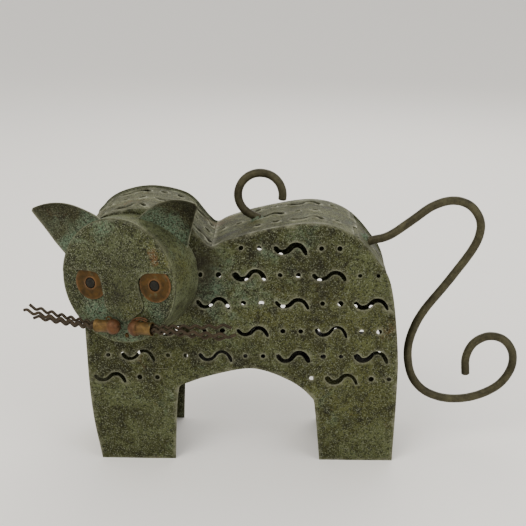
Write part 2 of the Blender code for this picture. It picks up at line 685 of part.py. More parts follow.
def make_whiskers(head, metals, collection):
    """Three crimped wires from the open end of each cap."""
    tips = {
        "left": ((62.5, 14.5, -27.0), (67.0, 10.5, -31.5), (59.0, 14.0, -34.5)),
        "right": ((-59.5, -3.0, -16.6), (-60.0, -8.5, -17.4), (-57.0, -4.0, -22.4)),
    }
    names = ("upper", "middle", "lower")
    for cap, side in (("left", 1), ("right", -1)):
        mouth = muzzle_middle() + Vector((side * (MUZZLE_SPACING / 2 + MUZZLE_LENGTH), 0, 0))
        for k, tip in enumerate(tips[cap]):
            turn = math.radians(90 - 90 * k)
            root = mouth + Vector((-side * WHISKER_SEAT, -math.cos(turn) * WHISKER_ROOT,
                                   math.sin(turn) * WHISKER_ROOT))
            end = Vector(tip) * MM
            straight_out = root + Vector((side * WHISKER_LEAD, 0, 0))
            length = (end - root).length
            count = round(length / (WHISKER_WAVE / 4))
            points = []
            for j in range(count + 1):
                t = j / count
                ramp = min(1.0, max(0.0, (t * length - WHISKER_SEAT) / WHISKER_RAMP))
                wave = Vector((0, 0, math.sin(math.pi / 2 * j) * WHISKER_CRIMP * ramp))
                bend = root.lerp(straight_out, t).lerp(straight_out.lerp(end, t), t)
                points.append(bend + wave)
            mesh = rod_solid(points, WHISKER_RADIUS, 1)
            add_object("whisker_" + cap + "_" + names[k], mesh, metals["rod"], head, collection)


def ear_mesh(outer, inner, tip, bulge):
    """Leaf of sheet from an arc on the band to a rounded tip, cupped slightly."""
    foot_radius = HEAD_RADIUS + EAR_STANDOFF

    def foot(s):
        angle = math.radians(outer[0] + (inner[0] - outer[0]) * s)
        depth = (outer[1] + (inner[1] - outer[1]) * s) * MM
        return Vector((foot_radius * math.cos(angle), depth, foot_radius * math.sin(angle)))

    end = Vector(tip) * MM
    columns, rows = 8, 9
    grid = []
    work = bmesh.new()
    for r in range(rows + 1):
        t = math.sin(math.pi / 2 * r / rows) * 0.955
        row = []
        for c in range(columns + 1):
            s = c / columns
            low = foot(0).lerp(end, t)
            high = foot(1).lerp(end, t) + Vector((0, 0, bulge * math.sin(math.pi * t ** 1.4)))
            place = low.lerp(high, s) + (foot(s) - foot(0).lerp(foot(1), s)) * (1 - t) ** 2
            place.y += EAR_CAMBER * math.sin(math.pi * s) * math.sin(math.pi * min(1, t * 1.1))
            row.append(work.verts.new(place))
        grid.append(row)
    for r in range(rows):
        for c in range(columns):
            work.faces.new((grid[r][c], grid[r][c + 1], grid[r + 1][c + 1], grid[r + 1][c]))
    bmesh.ops.recalc_face_normals(work, faces=work.faces)
    mesh = bpy.data.meshes.new("ear")
    work.to_mesh(mesh)
    work.free()
    mesh.shade_smooth()
    return mesh


def make_ears(head, metals, collection):
    """Each ear: outer and inner foot as (degrees round the band, depth in mm), and the tip."""
    shapes = {
        "ear_left": ((24.0, 25.0), (72.0, 11.0), (47.0, 14.0, 42.5)),
        "ear_right": ((156.0, 2.0), (107.0, 6.0), (-54.5, 3.0, 41.0)),
    }
    for name, (outer, inner, tip) in shapes.items():
        mesh = ear_mesh(outer, inner, tip, EAR_BULGE)
        ear = add_object(name, mesh, metals["ear"], head, collection)
        wall = ear.modifiers.new("wall", "SOLIDIFY")
        wall.thickness = EAR_SHEET
        wall.offset = 0


# --- the whole lantern

def centre_on_floor(body, collection):
    """Moves the body empty so that the lantern's box is centred and stands on the floor."""
    bpy.context.view_layer.update()
    graph = bpy.context.evaluated_depsgraph_get()
    low = Vector((1e9, 1e9, 1e9))
    high = -low
    for piece in collection.objects:
        if piece.type != "MESH":
            continue
        solid = piece.evaluated_get(graph)
        for vert in solid.data.vertices:
            at = solid.matrix_world @ vert.co
            low = Vector(map(min, low, at))
            high = Vector(map(max, high, at))
    body.location = (-(low.x + high.x) / 2, -(low.y + high.y) / 2, -low.z)
    bpy.context.view_layer.update()


def build():
    clear_scene()
    collection = make_collection("cat_lantern")
    metals = {
        "patina": metal("patina_sheet", (0.085, 0.098, 0.058), 0.62, 0.55),
        "ear": metal("ear_sheet", (0.09, 0.085, 0.055), 0.62, 0.55),
        "copper": metal("aged_copper", (0.25, 0.085, 0.03), 0.45, 0.9),
        "rod": metal("dark_rod", (0.06, 0.055, 0.038), 0.5, 0.6),
        "iron": metal("dark_iron", (0.03, 0.028, 0.022), 0.5, 0.8),
        "inside": metal("plain_steel", (0.12, 0.11, 0.09), 0.55, 0.7),
    }
    body = bpy.data.objects.new("body", None)
    head = bpy.data.objects.new("head", None)
    lid_axis = bpy.data.objects.new("lid_axis", None)
    for empty in (body, head, lid_axis):
        collection.objects.link(empty)
    head.parent = body
    lid_axis.parent = body
    turn = (Matrix.Rotation(math.radians(-HEAD_TURN), 4, "Z")
            @ Matrix.Rotation(math.radians(-HEAD_LIFT), 4, "X")
            @ Matrix.Rotation(math.radians(-HEAD_ROLL), 4, "Y"))
    head_place = Vector((FRONT + HEAD_CENTRE_FROM_FRONT, -BODY_WIDTH / 2 - HEAD_STANDOFF,
                         HEAD_CENTRE_HEIGHT))
    head.matrix_local = Matrix.Translation(head_place) @ turn

    line = BentLine(back_line())
    shoulder = line.where_x(FRONT + 36 * MM, 0.0)
    seam = {
        "lid_start": line.where_x(FRONT + SADDLE_FROM_FRONT, shoulder),
        "hinge": line.where_x(REAR - HINGE_FROM_REAR, shoulder),
    }
    pin = line.at(seam["hinge"], -STRIP_RECESS)
    lid_axis.location = (pin.x, 0.0, pin.y)
    bpy.context.view_layer.update()

    make_side_panels(body, metals, collection)
    make_back(body, lid_axis, line, seam, metals, collection)
    make_hinge(body, lid_axis, line, seam, metals, collection)
    make_handle(lid_axis, line, seam, metals, collection)
    make_tail(body, lid_axis, line, seam, metals, collection)
    make_tray(body, seam, line, metals, collection)
    make_head_shell(head, metals, collection)
    make_face(head, metals, collection)
    make_muzzle(head, metals, collection)
    make_whiskers(head, metals, collection)
    make_ears(head, metals, collection)
    centre_on_floor(body, collection)


build()
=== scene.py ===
"""Looks of the pierced sheet-metal cat lantern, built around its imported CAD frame.

Every sheet is rebuilt as a fine punched and dented mesh from the outline and holes of its
CAD node, every rod from the centre line of its node, and each metal is a layered patina.
"""

import math
import random

import bmesh
import bpy
from mathutils import Matrix, Vector, kdtree, noise
from mathutils.geometry import delaunay_2d_cdt


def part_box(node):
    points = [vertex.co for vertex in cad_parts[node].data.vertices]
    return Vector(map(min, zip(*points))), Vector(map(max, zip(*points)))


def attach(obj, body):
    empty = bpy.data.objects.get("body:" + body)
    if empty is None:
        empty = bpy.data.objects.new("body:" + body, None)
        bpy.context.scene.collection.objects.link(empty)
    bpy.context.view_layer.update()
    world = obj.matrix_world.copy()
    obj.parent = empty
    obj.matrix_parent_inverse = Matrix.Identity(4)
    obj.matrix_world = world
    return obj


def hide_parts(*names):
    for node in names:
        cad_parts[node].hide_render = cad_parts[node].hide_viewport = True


MM = 0.001

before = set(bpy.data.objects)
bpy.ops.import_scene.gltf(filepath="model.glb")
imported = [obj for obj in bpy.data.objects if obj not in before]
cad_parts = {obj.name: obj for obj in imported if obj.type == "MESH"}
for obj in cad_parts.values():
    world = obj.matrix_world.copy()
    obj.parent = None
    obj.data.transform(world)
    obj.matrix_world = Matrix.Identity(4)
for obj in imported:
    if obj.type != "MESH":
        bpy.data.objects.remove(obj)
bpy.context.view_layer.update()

# Sheet metal
SHEET = 1.0 * MM
SKIN_DEPTH = 0.5 * MM         # a vertex this near the outermost one lies on the outer skin
GRID = 2.3 * MM               # spacing of the free points in a sheet
EDGE_STEP = 1.3 * MM
LIP_HEIGHT = 0.42 * MM        # burr that the punch raises round a hole
LIP_WIDTH = 0.75 * MM
# pale lip round a hole: worn metal, and a painted highlight on the raised burr
PALE_LIP_WIDTH = 0.65 * MM    # of the pale metal along it
STRIP_LIP = 2.2               # times higher on the strips and the lid
RIM_WEAR = 0.35 * MM          # depth of the worn metal along an edge
RINGS_ROUND_HOLES = ((0.45 * MM, 1), (1.0 * MM, 2))   # distance, one point in so many
DENT_HEIGHT = 0.30 * MM
DENT_SIZE = 26 * MM
HAMMER_HEIGHT = 0.05 * MM
HAMMER_SIZE = 3.2 * MM

# Punched S slots
SLOT_LENGTH = 19.0 * MM
SLOT_WIDTH = 2.7 * MM
SLOT_WAVE = 2.9 * MM
DOT_RADIUS = 1.5 * MM
STRIP_SLOTS_BOLDER = 1.45     # the strips were punched harder than the panels

# The lid's end, rolled over the hinge barrels
ROLL_RADIUS = 2.4 * MM
ROLL_PAST_PIN = 0.7 * MM
ROLL_CLEARANCE = 0.35 * MM
ROLL_STARTS = 3.6 * MM        # before the pin
ROLL_RISES_OVER = 3.2 * MM
ROLL_THINNING = 0.56          # of the sheet, where it lies over the barrels

# Head
HEAD_RADIUS = 36.5 * MM
DISC_ROUNDING = 2.2 * MM      # width of the rolled edge of the face disc
WRAP_SHEET = 0.45 * MM        # the brow sheet where it laps over the band
EAR_SHEET = 0.8 * MM
WHISKER_RADIUS = 0.92 * MM
EAR_BULGE = 6.5 * MM
EAR_CAMBER = 3.0 * MM
EAR_RIM = 1.0 * MM            # how far the ear's edge curls forward
EAR_STANDOFF = 0.3 * MM       # of its foot from the band
EAR_CUT = 0.965               # share of the way to the tip at which the leaf is cut off
DOME_EDGE = 1.0 * MM          # fall of the face disc's rolled edge
WASHER_RADIUS = 10.0 * MM
WASHER_HOLE = 3.3 * MM

# Camera, at the viewing angle of the reference
CAMERA_AT = Vector((0.0028, -0.5614, 0.3091))
CAMERA_YAW = math.radians(1.2)
CAMERA_PITCH = math.radians(18.2)
CAMERA_LENS = 68.44
CAMERA_SENSOR = 36.0


# --- reading the frame

def welded(node):
    """Editable copy of a CAD node's mesh, with its corners shared between faces."""
    work = bmesh.new()
    work.from_mesh(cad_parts[node].data)
    bmesh.ops.remove_doubles(work, verts=work.verts, dist=0.003 * MM)
    return work


def outer_loops(node, unfold):
    """Closed edges of a sheet's outer skin, laid out flat by unfold, longest first."""
    work = welded(node)
    flat = {vert: unfold(vert.co) for vert in work.verts}
    top = max(place.z for place in flat.values())
    skin = {face for face in work.faces
            if all(flat[vert].z > top - SKIN_DEPTH for vert in face.verts)}
    follow = {}
    for face in work.faces:
        if face not in skin:
            continue
        for corner in face.loops:
            if not any(other in skin for other in corner.edge.link_faces if other != face):
                follow[corner.vert] = corner.link_loop_next.vert
    loops = []
    for start in list(follow):
        if start not in follow:
            continue
        chain = []
        vert = start
        while vert in follow:
            chain.append(Vector((flat[vert].x, flat[vert].y)))
            vert = follow.pop(vert)
        loops.append(chain)
    work.free()
    loops.sort(key=lambda chain: -len_of(chain))
    return loops


def corners_of(points):
    """Lowest and highest corner of flat points."""
    return (Vector((min(p.x for p in points), min(p.y for p in points))),
            Vector((max(p.x for p in points), max(p.y for p in points))))


def len_of(chain):
    return sum((b - a).length for a, b in zip(chain, chain[1:] + chain[:1]))


def ring_centres(node, far_point):
    """Centre line of a rod, ring by ring, from its flat end nearest to far_point."""
    work = welded(node)
    work.verts.index_update()
    first = min(work.verts, key=lambda vert: (vert.co - far_point).length)
    work.normal_update()
    best = []
    for seed in first.link_faces:
        cap, reach = {seed}, [seed]
        while reach:
            face = reach.pop()
            for edge in face.edges:
                for other in edge.link_faces:
                    if other not in cap and other.normal.dot(seed.normal) > 0.9995:
                        cap.add(other)
                        reach.append(other)
        corners = {vert for face in cap for vert in face.verts}
        if len(corners) > len(best):
            best = corners
    ring, seen, centres = best, set(best), []
    while ring:
        ordered = sorted(ring, key=lambda vert: vert.index)
        centres.append(sum((vert.co for vert in ordered), Vector()) / len(ring))
        ring = {edge.other_vert(vert) for vert in ring for edge in vert.link_edges} - seen
        seen |= ring
    work.free()
    return centres


def centre_of(node):
    low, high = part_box(node)
    return (low + high) / 2


# --- lines

def smooth(points, closed=False, step=EDGE_STEP, corner=math.radians(38)):
    """Catmull-Rom line through the points, subdivided to the step, with sharp corners kept."""
    count = len(points)
    line = []
    spans = count if closed else count - 1

    def at(k):
        return points[k % count] if closed else points[max(0, min(count - 1, k))]

    def sharp(k):
        if not closed and (k <= 0 or k >= count - 1):
            return True
        before, after = at(k) - at(k - 1), at(k + 1) - at(k)
        return before.angle(after, 0.0) > corner

    for k in range(spans):
        a, b = at(k), at(k + 1)
        before = 2 * a - b if sharp(k) else at(k - 1)
        after = 2 * b - a if sharp(k + 1) else at(k + 2)
        parts = max(1, round((b - a).length / step))
        for j in range(parts):
            t = j / parts
            line.append(0.5 * (2 * a + (b - before) * t
                               + (2 * before - 5 * a + 4 * b - after) * t * t
                               + (3 * a - before - 3 * b + after) * t ** 3))
    if not closed:
        line.append(points[-1].copy())
    return line


def rounded(line, times):
    """The same open line with its bends eased."""
    for _ in range(times):
        eased = [(a + 2 * b + c) / 4 for a, b, c in zip(line, line[1:], line[2:])]
        line = [line[0]] + eased + [line[-1]]
    return line


def evenly(line, step):
    """Points along an open line at equal steps."""
    lengths = [0.0]
    for a, b in zip(line, line[1:]):
        lengths.append(lengths[-1] + (b - a).length)
    count = max(2, round(lengths[-1] / step))
    out, k = [], 0
    for j in range(count + 1):
        s = lengths[-1] * j / count
        while k < len(line) - 2 and lengths[k + 1] < s:
            k += 1
        span = max(1e-9, lengths[k + 1] - lengths[k])
        out.append(line[k].lerp(line[k + 1], (s - lengths[k]) / span))
    return out


def circle(centre, radius, sides, squash=1.0, lean=0.0):
    points = []
    for k in range(sides):
        angle = 2 * math.pi * k / sides
        reach = radius * (1 + (squash - 1) * math.cos(angle - lean) ** 2)
        points.append(Vector((centre.x + reach * math.cos(angle), centre.y + reach * math.sin(angle))))
    return points


def inside(point, loop):
    found = False
    for k, a in enumerate(loop):
        b = loop[k - 1]
        if (a.y > point.y) != (b.y > point.y):
            if point.x < a.x + (b.x - a.x) * (point.y - a.y) / (b.y - a.y):
                found = not found
    return found


def on_sheet(point, outline, holes):
    near = (hole for hole in holes if (hole[0] - point).length < SLOT_LENGTH * 1.1)
    return inside(point, outline) and not any(inside(point, hole) for hole in near)


def lumps(point, size, seed):
    """Smooth noise from -1 to 1 with features of about that size."""
    return noise.noise(Vector(point) / size + Vector((seed * 7.31, seed * 3.17, seed * 1.73)))


# --- punched holes

def punched_s(middle, rng, bold=1.0):
    """Outline of one S slot, hand-punched: no two have quite the same sway or width."""
    wave = SLOT_WAVE * rng.uniform(0.85, 1.12)
    length = SLOT_LENGTH * rng.uniform(0.95, 1.02)
    width = SLOT_WIDTH * rng.uniform(0.82, 1.15) * bold
    hook = rng.uniform(0.8, 1.25)

    def line_at(t):
        sway = -wave * math.sin(2 * math.pi * t * 1.06) * 0.85
        fall = -wave * hook * max(0.0, (t - 0.72) / 0.28) ** 2
        lift = wave * 0.5 * max(0.0, 1 - t / 0.2)
        slow = -0.028 * math.sin(4 * math.pi * t)     # rounds the trough and the crest
        return Vector(((t - 0.5 + slow) * length, sway + fall + lift))

    upper, lower = [], []
    stations = 18
    for k in range(stations + 1):
        t = k / stations
        here = line_at(t)
        along = (line_at(min(1.0, t + 0.02)) - line_at(max(0.0, t - 0.02))).normalized()
        side = Vector((-along.y, along.x))
        blunt = min(1.0, 0.55 + 9 * min(t, 1 - t)) * (1.18 - 0.3 * t)
        half = width / 2 * blunt * (1 + 0.16 * math.sin(5 * t + wave / MM * 9))
        upper.append(here + side * half)
        lower.append(here - side * half)
    loop = lower + upper[::-1]
    low, high = corners_of(loop)
    return [p - (low + high) / 2 + middle for p in loop]


def fine_holes(loops, rng, bold=1.0):
    """A fine hole in the place of each coarse one. bold widens them all."""
    holes = []
    for loop in loops:
        low, high = corners_of(loop)
        middle = (low + high) / 2
        if high.x - low.x > SLOT_LENGTH / 2:
            holes.append(punched_s(middle, rng, bold))
        else:
            holes.append(circle(middle, DOT_RADIUS * bold * rng.uniform(0.85, 1.15), 16,
                                rng.uniform(0.8, 1.1), rng.uniform(0, math.pi)))
    return holes


# --- sheets

def grow(loop, reach):
    """A hole's outline moved outwards, away from the hole."""
    grown = []
    turn = sum(a.x * b.y - b.x * a.y for a, b in zip(loop, loop[1:] + loop[:1]))
    for k, point in enumerate(loop):
        along = (loop[(k + 1) % len(loop)] - loop[k - 1]).normalized()
        outward = Vector((along.y, -along.x)) * (1 if turn > 0 else -1)
        grown.append(point + outward * reach)
    return grown


def mesh_flat(outline, holes, grid, rng):
    """Triangulates a flat sheet with holes. Gives points, triangles and the distance to an edge."""
    fixed, edges = [], []
    for loop in [outline] + holes:
        first = len(fixed)
        fixed += loop
        edges += [(first + k, first + (k + 1) % len(loop)) for k in range(len(loop))]
    near = kdtree.KDTree(len(fixed))
    for k, point in enumerate(fixed):
        near.insert((point.x, point.y, 0), k)
    near.balance()
    free = []
    for loop in holes:
        for reach, every in RINGS_ROUND_HOLES:
            for point in grow(loop, reach)[::every]:
                gap = near.find((point.x, point.y, 0))[2]
                if gap > reach * 0.8:
                    free.append(point)
    low, high = corners_of(outline)
    rows = int((high.y - low.y) / (grid * 0.87)) + 1
    columns = int((high.x - low.x) / grid) + 1
    for r in range(rows + 1):
        for c in range(columns + 1):
            point = Vector((low.x + (c + (r % 2) * 0.5 + rng.uniform(-0.2, 0.2)) * grid,
                            low.y + (r + rng.uniform(-0.2, 0.2)) * grid * 0.87))
            if near.find((point.x, point.y, 0))[2] > 0.62 * grid and on_sheet(point, outline, holes):
                free.append(point)
    points, _, faces, _, _, _ = delaunay_2d_cdt(fixed + free, edges, [], 0, 1e-7)
    triangles = []
    for face in faces:
        middle = sum((points[k] for k in face), Vector((0, 0))) / len(face)
        if on_sheet(middle, outline, holes):
            triangles.append(list(face))
    from_edge = [near.find((p.x, p.y, 0))[2] for p in points]
    return points, triangles, from_edge


def rim_tree(loops):
    points = [p for loop in loops for p in loop]
    tree = kdtree.KDTree(max(1, len(points)))
    for k, point in enumerate(points):
        tree.insert((point.x, point.y, 0), k)
    tree.balance()
    return tree if points else None


def sheet_piece(name, outline, holes, place, seed, thickness=SHEET, grid=GRID, dents=1.0, relief=None,
                edge_wear=1.0, lip=1.0):
    """Solid sheet with holes. place(u, v, height) puts a point of the flat layout in the world."""
    rng = random.Random(seed)
    points, triangles, from_edge = mesh_flat(outline, holes, grid, rng)
    rims = rim_tree(holes)
    used = sorted({k for face in triangles for k in face})
    index = {k: j for j, k in enumerate(used)}
    count = len(used)
    outer, inner, wear_and_highlight = [], [], []
    for k in used:
        u, v = points[k]
        lift = DENT_HEIGHT * dents * lumps((u, v, 0), DENT_SIZE, seed)
        lift += HAMMER_HEIGHT * dents * lumps((u, v, 0.3), HAMMER_SIZE, seed + 1)
        lip_wear_and_highlight = 0.0
        if rims is not None:
            gap = rims.find((u, v, 0))[2]
            burr = 0.75 + 0.5 * lumps((u, v, 0), 9 * MM, seed + 2)
            lift += LIP_HEIGHT * lip * burr * math.exp(-(gap / LIP_WIDTH) ** 2)
            # pale lip round the hole: partly worn metal, partly a painted highlight on the burr
            lip_wear_and_highlight = burr * math.exp(-(gap / PALE_LIP_WIDTH) ** 2)
        if relief is not None:
            lift += relief(u, v)
        outer.append(place(u, v, lift))
        inner.append(place(u, v, lift - thickness))
        broken = 0.55 + 0.9 * lumps((u, v, 0.7), 5 * MM, seed + 3)
        edge = edge_wear * max(0.0, broken) * math.exp(-from_edge[k] / RIM_WEAR)
        wear_and_highlight.append(max(edge, lip_wear_and_highlight))
    faces = [[index[k] for k in face] for face in triangles]
    uses = {}
    for face in faces:
        for a, b in zip(face, face[1:] + face[:1]):
            uses[(a, b)] = uses.get((a, b), 0) + 1
    walls = [(a, b) for (a, b) in uses if (b, a) not in uses]
    all_faces = faces + [[count + k for k in reversed(face)] for face in faces]
    all_faces += [[b, a, count + a, count + b] for a, b in walls]
    return solid_piece(name, outer + inner, all_faces, wear_and_highlight + [w * 0.4 for w in wear_and_highlight], 48)


def solid_piece(name, verts, faces, wear_and_highlight=None, crease=180, weld=0.0):
    """Closed mesh as a piece, smooth but for edges sharper than crease degrees."""
    mesh = bpy.data.meshes.new(name)
    mesh.from_pydata(verts, [], faces)
    mesh.validate()
    work = bmesh.new()
    work.from_mesh(mesh)
    if weld:
        bmesh.ops.remove_doubles(work, verts=work.verts, dist=weld)
    bmesh.ops.recalc_face_normals(work, faces=work.faces)
    work.to_mesh(mesh)
    work.free()
    mesh.shade_smooth()
    if crease < 180:
        mesh.set_sharp_from_angle(angle=math.radians(crease))
    set_values(mesh, "wear_and_highlight", wear_and_highlight or [0.0] * len(mesh.vertices))
    piece = bpy.data.objects.new(name, mesh)
    bpy.context.scene.collection.objects.link(piece)
    return piece


def joined(starts, sides):
    """Quads between neighbouring rings, given the index of each ring's first vertex."""
    return [[a + j, a + (j + 1) % sides, b + (j + 1) % sides, b + j]
            for a, b in zip(starts, starts[1:]) for j in range(sides)]


def two_skins(rows, columns, closed=False):
    """Quads of a bent plate: an outer and an inner grid of vertices, and the rim between them."""
    count = columns if closed else columns + 1
    layer = (rows + 1) * count
    faces = []
    for skin in (0, 1):
        for r in range(rows):
            for c in range(columns):
                a = skin * layer + r * count + c
                b = skin * layer + r * count + (c + 1) % count
                faces.append([a, b, b + count, a + count])
    borders = [[r * count + c for c in range(count)] + ([r * count] if closed else []) for r in (0, rows)]
    if not closed:
        borders += [[r * count + c for r in range(rows + 1)] for c in (0, columns)]
    for border in borders:
        faces += [[a, b, layer + b, layer + a] for a, b in zip(border, border[1:])]
    return faces


def set_values(mesh, name, values):
    attribute = mesh.attributes.new(name, "FLOAT", "POINT")
    attribute.data.foreach_set("value", values)


def paint(piece, name, spots, head=None):
    """A value on each vertex: how much of a patch lies there. The patches are patina, dark marks and
    painted shade.

    spots: (place, size, amount) in millimetres, in the world or in the head's frame.
    """
    if head is not None:
        spots = [(at(head, *place), size, amount) for place, size, amount in spots]
    values = []
    for vert in piece.data.vertices:
        value = 0.0
        for place, size, amount in spots:
            value += amount * math.exp(-((vert.co - Vector(place) * MM).length / (size * MM)) ** 2)
        values.append(value)
    set_values(piece.data, name, values)


def dress(piece, material, body, slot, *stands_for):
    """Gives a piece its metal and its body, and hides the CAD nodes that it stands for. slot is not used.
    """
    piece.data.materials.clear()
    piece.data.materials.append(material)
    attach(piece, body)
    if stands_for:
        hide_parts(*stands_for)
    return piece


# --- rods

def rod_piece(name, centres, radius, seed, sides=18, step=0.9 * MM, rough=0.03):
    """Hand-worked rod along a line: its section wanders a little, and its ends are dressed round."""
    line = evenly(centres, step)
    count = len(line)
    along = [(line[min(count - 1, k + 1)] - line[max(0, k - 1)]).normalized() for k in range(count)]
    side = along[0].orthogonal().normalized()
    verts, rings = [], []

    def ring(centre, axis, across, size):
        up = axis.cross(across)
        first = len(verts)
        for j in range(sides):
            angle = 2 * math.pi * j / sides
            way = across * math.cos(angle) + up * math.sin(angle)
            bumps = 1 + rough * lumps(centre + way * radius, 6 * MM, seed)
            bumps += rough * 0.5 * lumps(centre + way * radius, 1.8 * MM, seed + 1)
            verts.append(centre + way * size * bumps)
        rings.append(first)

    for share, back in ((0.45, 0.0), (0.82, 0.12)):
        ring(line[0] - along[0] * radius * 0.25 * (1 - back * 4), along[0], side, radius * share)
    for k in range(count):
        side = (side - along[k] * side.dot(along[k])).normalized()
        ring(line[k], along[k], side, radius)
    for share, out in ((0.82, 0.16), (0.45, 0.25)):
        ring(line[-1] + along[-1] * radius * out, along[-1], side, radius * share)
    caps = [[rings[0] + j for j in reversed(range(sides))], [rings[-1] + j for j in range(sides)]]
    return solid_piece(name, verts, joined(rings, sides) + caps)


def turned_piece(name, profile, place, sides, seed, dent=0.0):
    """Closed profile of (radius, height) points turned about Z, slightly dented."""
    verts = []
    for radius, height in profile:
        for j in range(sides):
            angle = 2 * math.pi * j / sides
            point = Vector((radius * math.cos(angle), radius * math.sin(angle), height))
            point *= 1 + dent * lumps(point, 5 * MM, seed)
            verts.append(place @ point)
    return solid_piece(name, verts, joined(range(0, len(verts), sides), sides), crease=40, weld=0.002 * MM)


# --- metals

class Metal:
    """A node material under construction: short calls for the few kinds of node it uses."""

    def __init__(self, name):
        self.material = bpy.data.materials.new(name)
        self.material.use_nodes = True
        self.tree = self.material.node_tree
        self.shader = self.tree.nodes["Principled BSDF"]
        self.where = self.tree.nodes.new("ShaderNodeTexCoord").outputs["Object"]

    def link(self, source, target):
        if isinstance(source, (int, float)):
            target.default_value = source
        elif isinstance(source, tuple):
            target.default_value = (*source, 1.0) if len(source) == 3 else source
        else:
            self.tree.links.new(source, target)

    def noise(self, size, seed, detail=6.0, rough=0.6, warp=0.0, stretch=(1, 1, 1)):
        mapping = self.tree.nodes.new("ShaderNodeMapping")
        mapping.inputs["Scale"].default_value = stretch
        self.tree.links.new(self.where, mapping.inputs["Vector"])
        node = self.tree.nodes.new("ShaderNodeTexNoise")
        node.noise_dimensions = "4D"
        self.tree.links.new(mapping.outputs["Vector"], node.inputs["Vector"])
        node.inputs["W"].default_value = seed * 1.37
        node.inputs["Scale"].default_value = 1 / size
        node.inputs["Detail"].default_value = detail
        node.inputs["Roughness"].default_value = rough
        node.inputs["Distortion"].default_value = warp
        return node.outputs["Fac"]

    def ramp(self, value, *stops):
        node = self.tree.nodes.new("ShaderNodeValToRGB")
        self.link(value, node.inputs["Fac"])
        while len(node.color_ramp.elements) < len(stops):
            node.color_ramp.elements.new(0.5)
        for element, (place, colour) in zip(node.color_ramp.elements, stops):
            element.position = place
            if isinstance(colour, (int, float)):
                colour = (colour,) * 3
            element.color = (*colour, 1.0)
        return node.outputs["Color"]

    def mix(self, share, a, b, blend="MIX"):
        node = self.tree.nodes.new("ShaderNodeMix")
        node.data_type = "RGBA"
        node.blend_type = blend
        self.link(share, node.inputs[0])
        self.link(a, node.inputs[6])
        self.link(b, node.inputs[7])
        return node.outputs[2]

    def sum(self, operation, a, b):
        node = self.tree.nodes.new("ShaderNodeMath")
        node.operation = operation
        node.use_clamp = operation != "SUBTRACT"
        self.link(a, node.inputs[0])
        self.link(b, node.inputs[1])
        return node.outputs[0]

    def value(self, name):
        node = self.tree.nodes.new("ShaderNodeAttribute")
        node.attribute_name = name
        return node.outputs["Fac"]

    def bump(self, height, distance, strength=1.0, under=None):
        node = self.tree.nodes.new("ShaderNodeBump")
        node.inputs["Strength"].default_value = strength
        node.inputs["Distance"].default_value = distance
        self.link(height, node.inputs["Height"])
        if under is not None:
            self.tree.links.new(under, node.inputs["Normal"])
        return node.outputs["Normal"]

    def finish(self, colour, roughness, metallic, normal):
        self.link(colour, self.shader.inputs["Base Color"])
        self.link(roughness, self.shader.inputs["Roughness"])
        self.link(metallic, self.shader.inputs["Metallic"])
        self.tree.links.new(normal, self.shader.inputs["Normal"])
        self.shader.inputs["Specular IOR Level"].default_value = 0.2
        return self.material


def patina(name, tones, teal, rust, seed, streak=(1, 1, 1), lip=(0.190, 0.190, 0.130), grain=1.0):
    """Verdigris over sheet steel: mottled ground, blue-green bloom, rust, grain, edges rubbed pale, and
    pale hole lips that are partly painted highlight.

    tones: dark, middle and light ground. teal and rust: share of the surface that they take.
    The vertex values teal_patch, rust_patch and olive_patch place the large stains. One more vertex value
    darkens places: in part painted shade, in part dark marks and the ears' darker tips.
    """
    m = Metal(name)
    broad = m.noise(24 * MM, seed, 7, 0.62, 0.8, streak)
    medium = m.noise(6 * MM, seed + 1, 6, 0.68, 0.5, streak)
    grit = m.noise(1.1 * MM, seed + 2, 3, 0.6)
    speck = m.noise(0.55 * MM, seed + 3, 2, 0.5)
    ground = m.mix(0.42, broad, medium)
    colour = m.ramp(ground, (0.40, tones[0]), (0.49, tones[1]), (0.58, tones[2]))
    olive = m.sum("MULTIPLY", m.value("olive_patch"), m.ramp(medium, (0.38, 0.0), (0.56, 1.0)))
    colour = m.mix(olive, colour, (0.086, 0.088, 0.022))
    bloom_at = m.sum("ADD", m.noise(17 * MM, seed + 5, 6, 0.65, 0.6), m.value("teal_patch"))
    bloom = m.ramp(bloom_at, (0.62 - teal, 0.0), (0.80 - teal, 1.0))
    bloom = m.sum("MULTIPLY", bloom, m.ramp(grit, (0.36, 0.25), (0.60, 1.0)))
    colour = m.mix(bloom, colour, (0.070, 0.108, 0.066))
    stain_at = m.sum("ADD", m.noise(11 * MM, seed + 7, 6, 0.7, 1.0, streak), m.value("rust_patch"))
    stain = m.ramp(stain_at, (0.66 - rust, 0.0), (0.84 - rust, 0.85))
    colour = m.mix(stain, colour, (0.110, 0.054, 0.020))
    colour = m.mix(m.ramp(grit, (0.38, 0.80 * grain), (0.52, 0.0)), colour, (0.008, 0.008, 0.004))
    colour = m.mix(m.ramp(speck, (0.53, 0.0), (0.66, 0.70 * grain)), colour, (0.190, 0.205, 0.135))
    # darkening: painted shade behind the head and round the muzzle, and real dark marks and darker tone
    # elsewhere
    painted_shade_and_dark_tone = m.ramp(m.value("painted_shade_and_dark_tone"), (0.0, 0.0), (1.0, 0.75))
    colour = m.mix(painted_shade_and_dark_tone, colour, (0.013, 0.011, 0.006))
    # pale edges from wear, and on the hole lips partly a painted highlight, in the lip colour
    wear_and_highlight_share = m.sum("MULTIPLY", m.value("wear_and_highlight"), m.ramp(medium, (0.36, 0.15), (0.56, 1.0)))
    colour = m.mix(wear_and_highlight_share, colour, lip)
    scratch = m.ramp(m.noise(0.7 * MM, seed + 9, 2, 0.5, 0.0, (0.035, 1.0, 1.0)), (0.70, 0.0), (0.73, 0.45))
    colour = m.mix(scratch, colour, (0.19, 0.19, 0.14))
    roughness = m.ramp(ground, (0.30, 0.52), (0.70, 0.82))
    metallic = m.ramp(bloom, (0.0, 0.45), (1.0, 0.10))
    coarse = m.bump(medium, 0.55 * MM, 0.55)
    fine = m.bump(grit, 0.22 * MM, 0.75, coarse)
    pits = m.bump(m.ramp(speck, (0.28, 0.0), (0.42, 1.0)), 0.10 * MM, 0.6, fine)
    return m.finish(colour, roughness, metallic, pits)


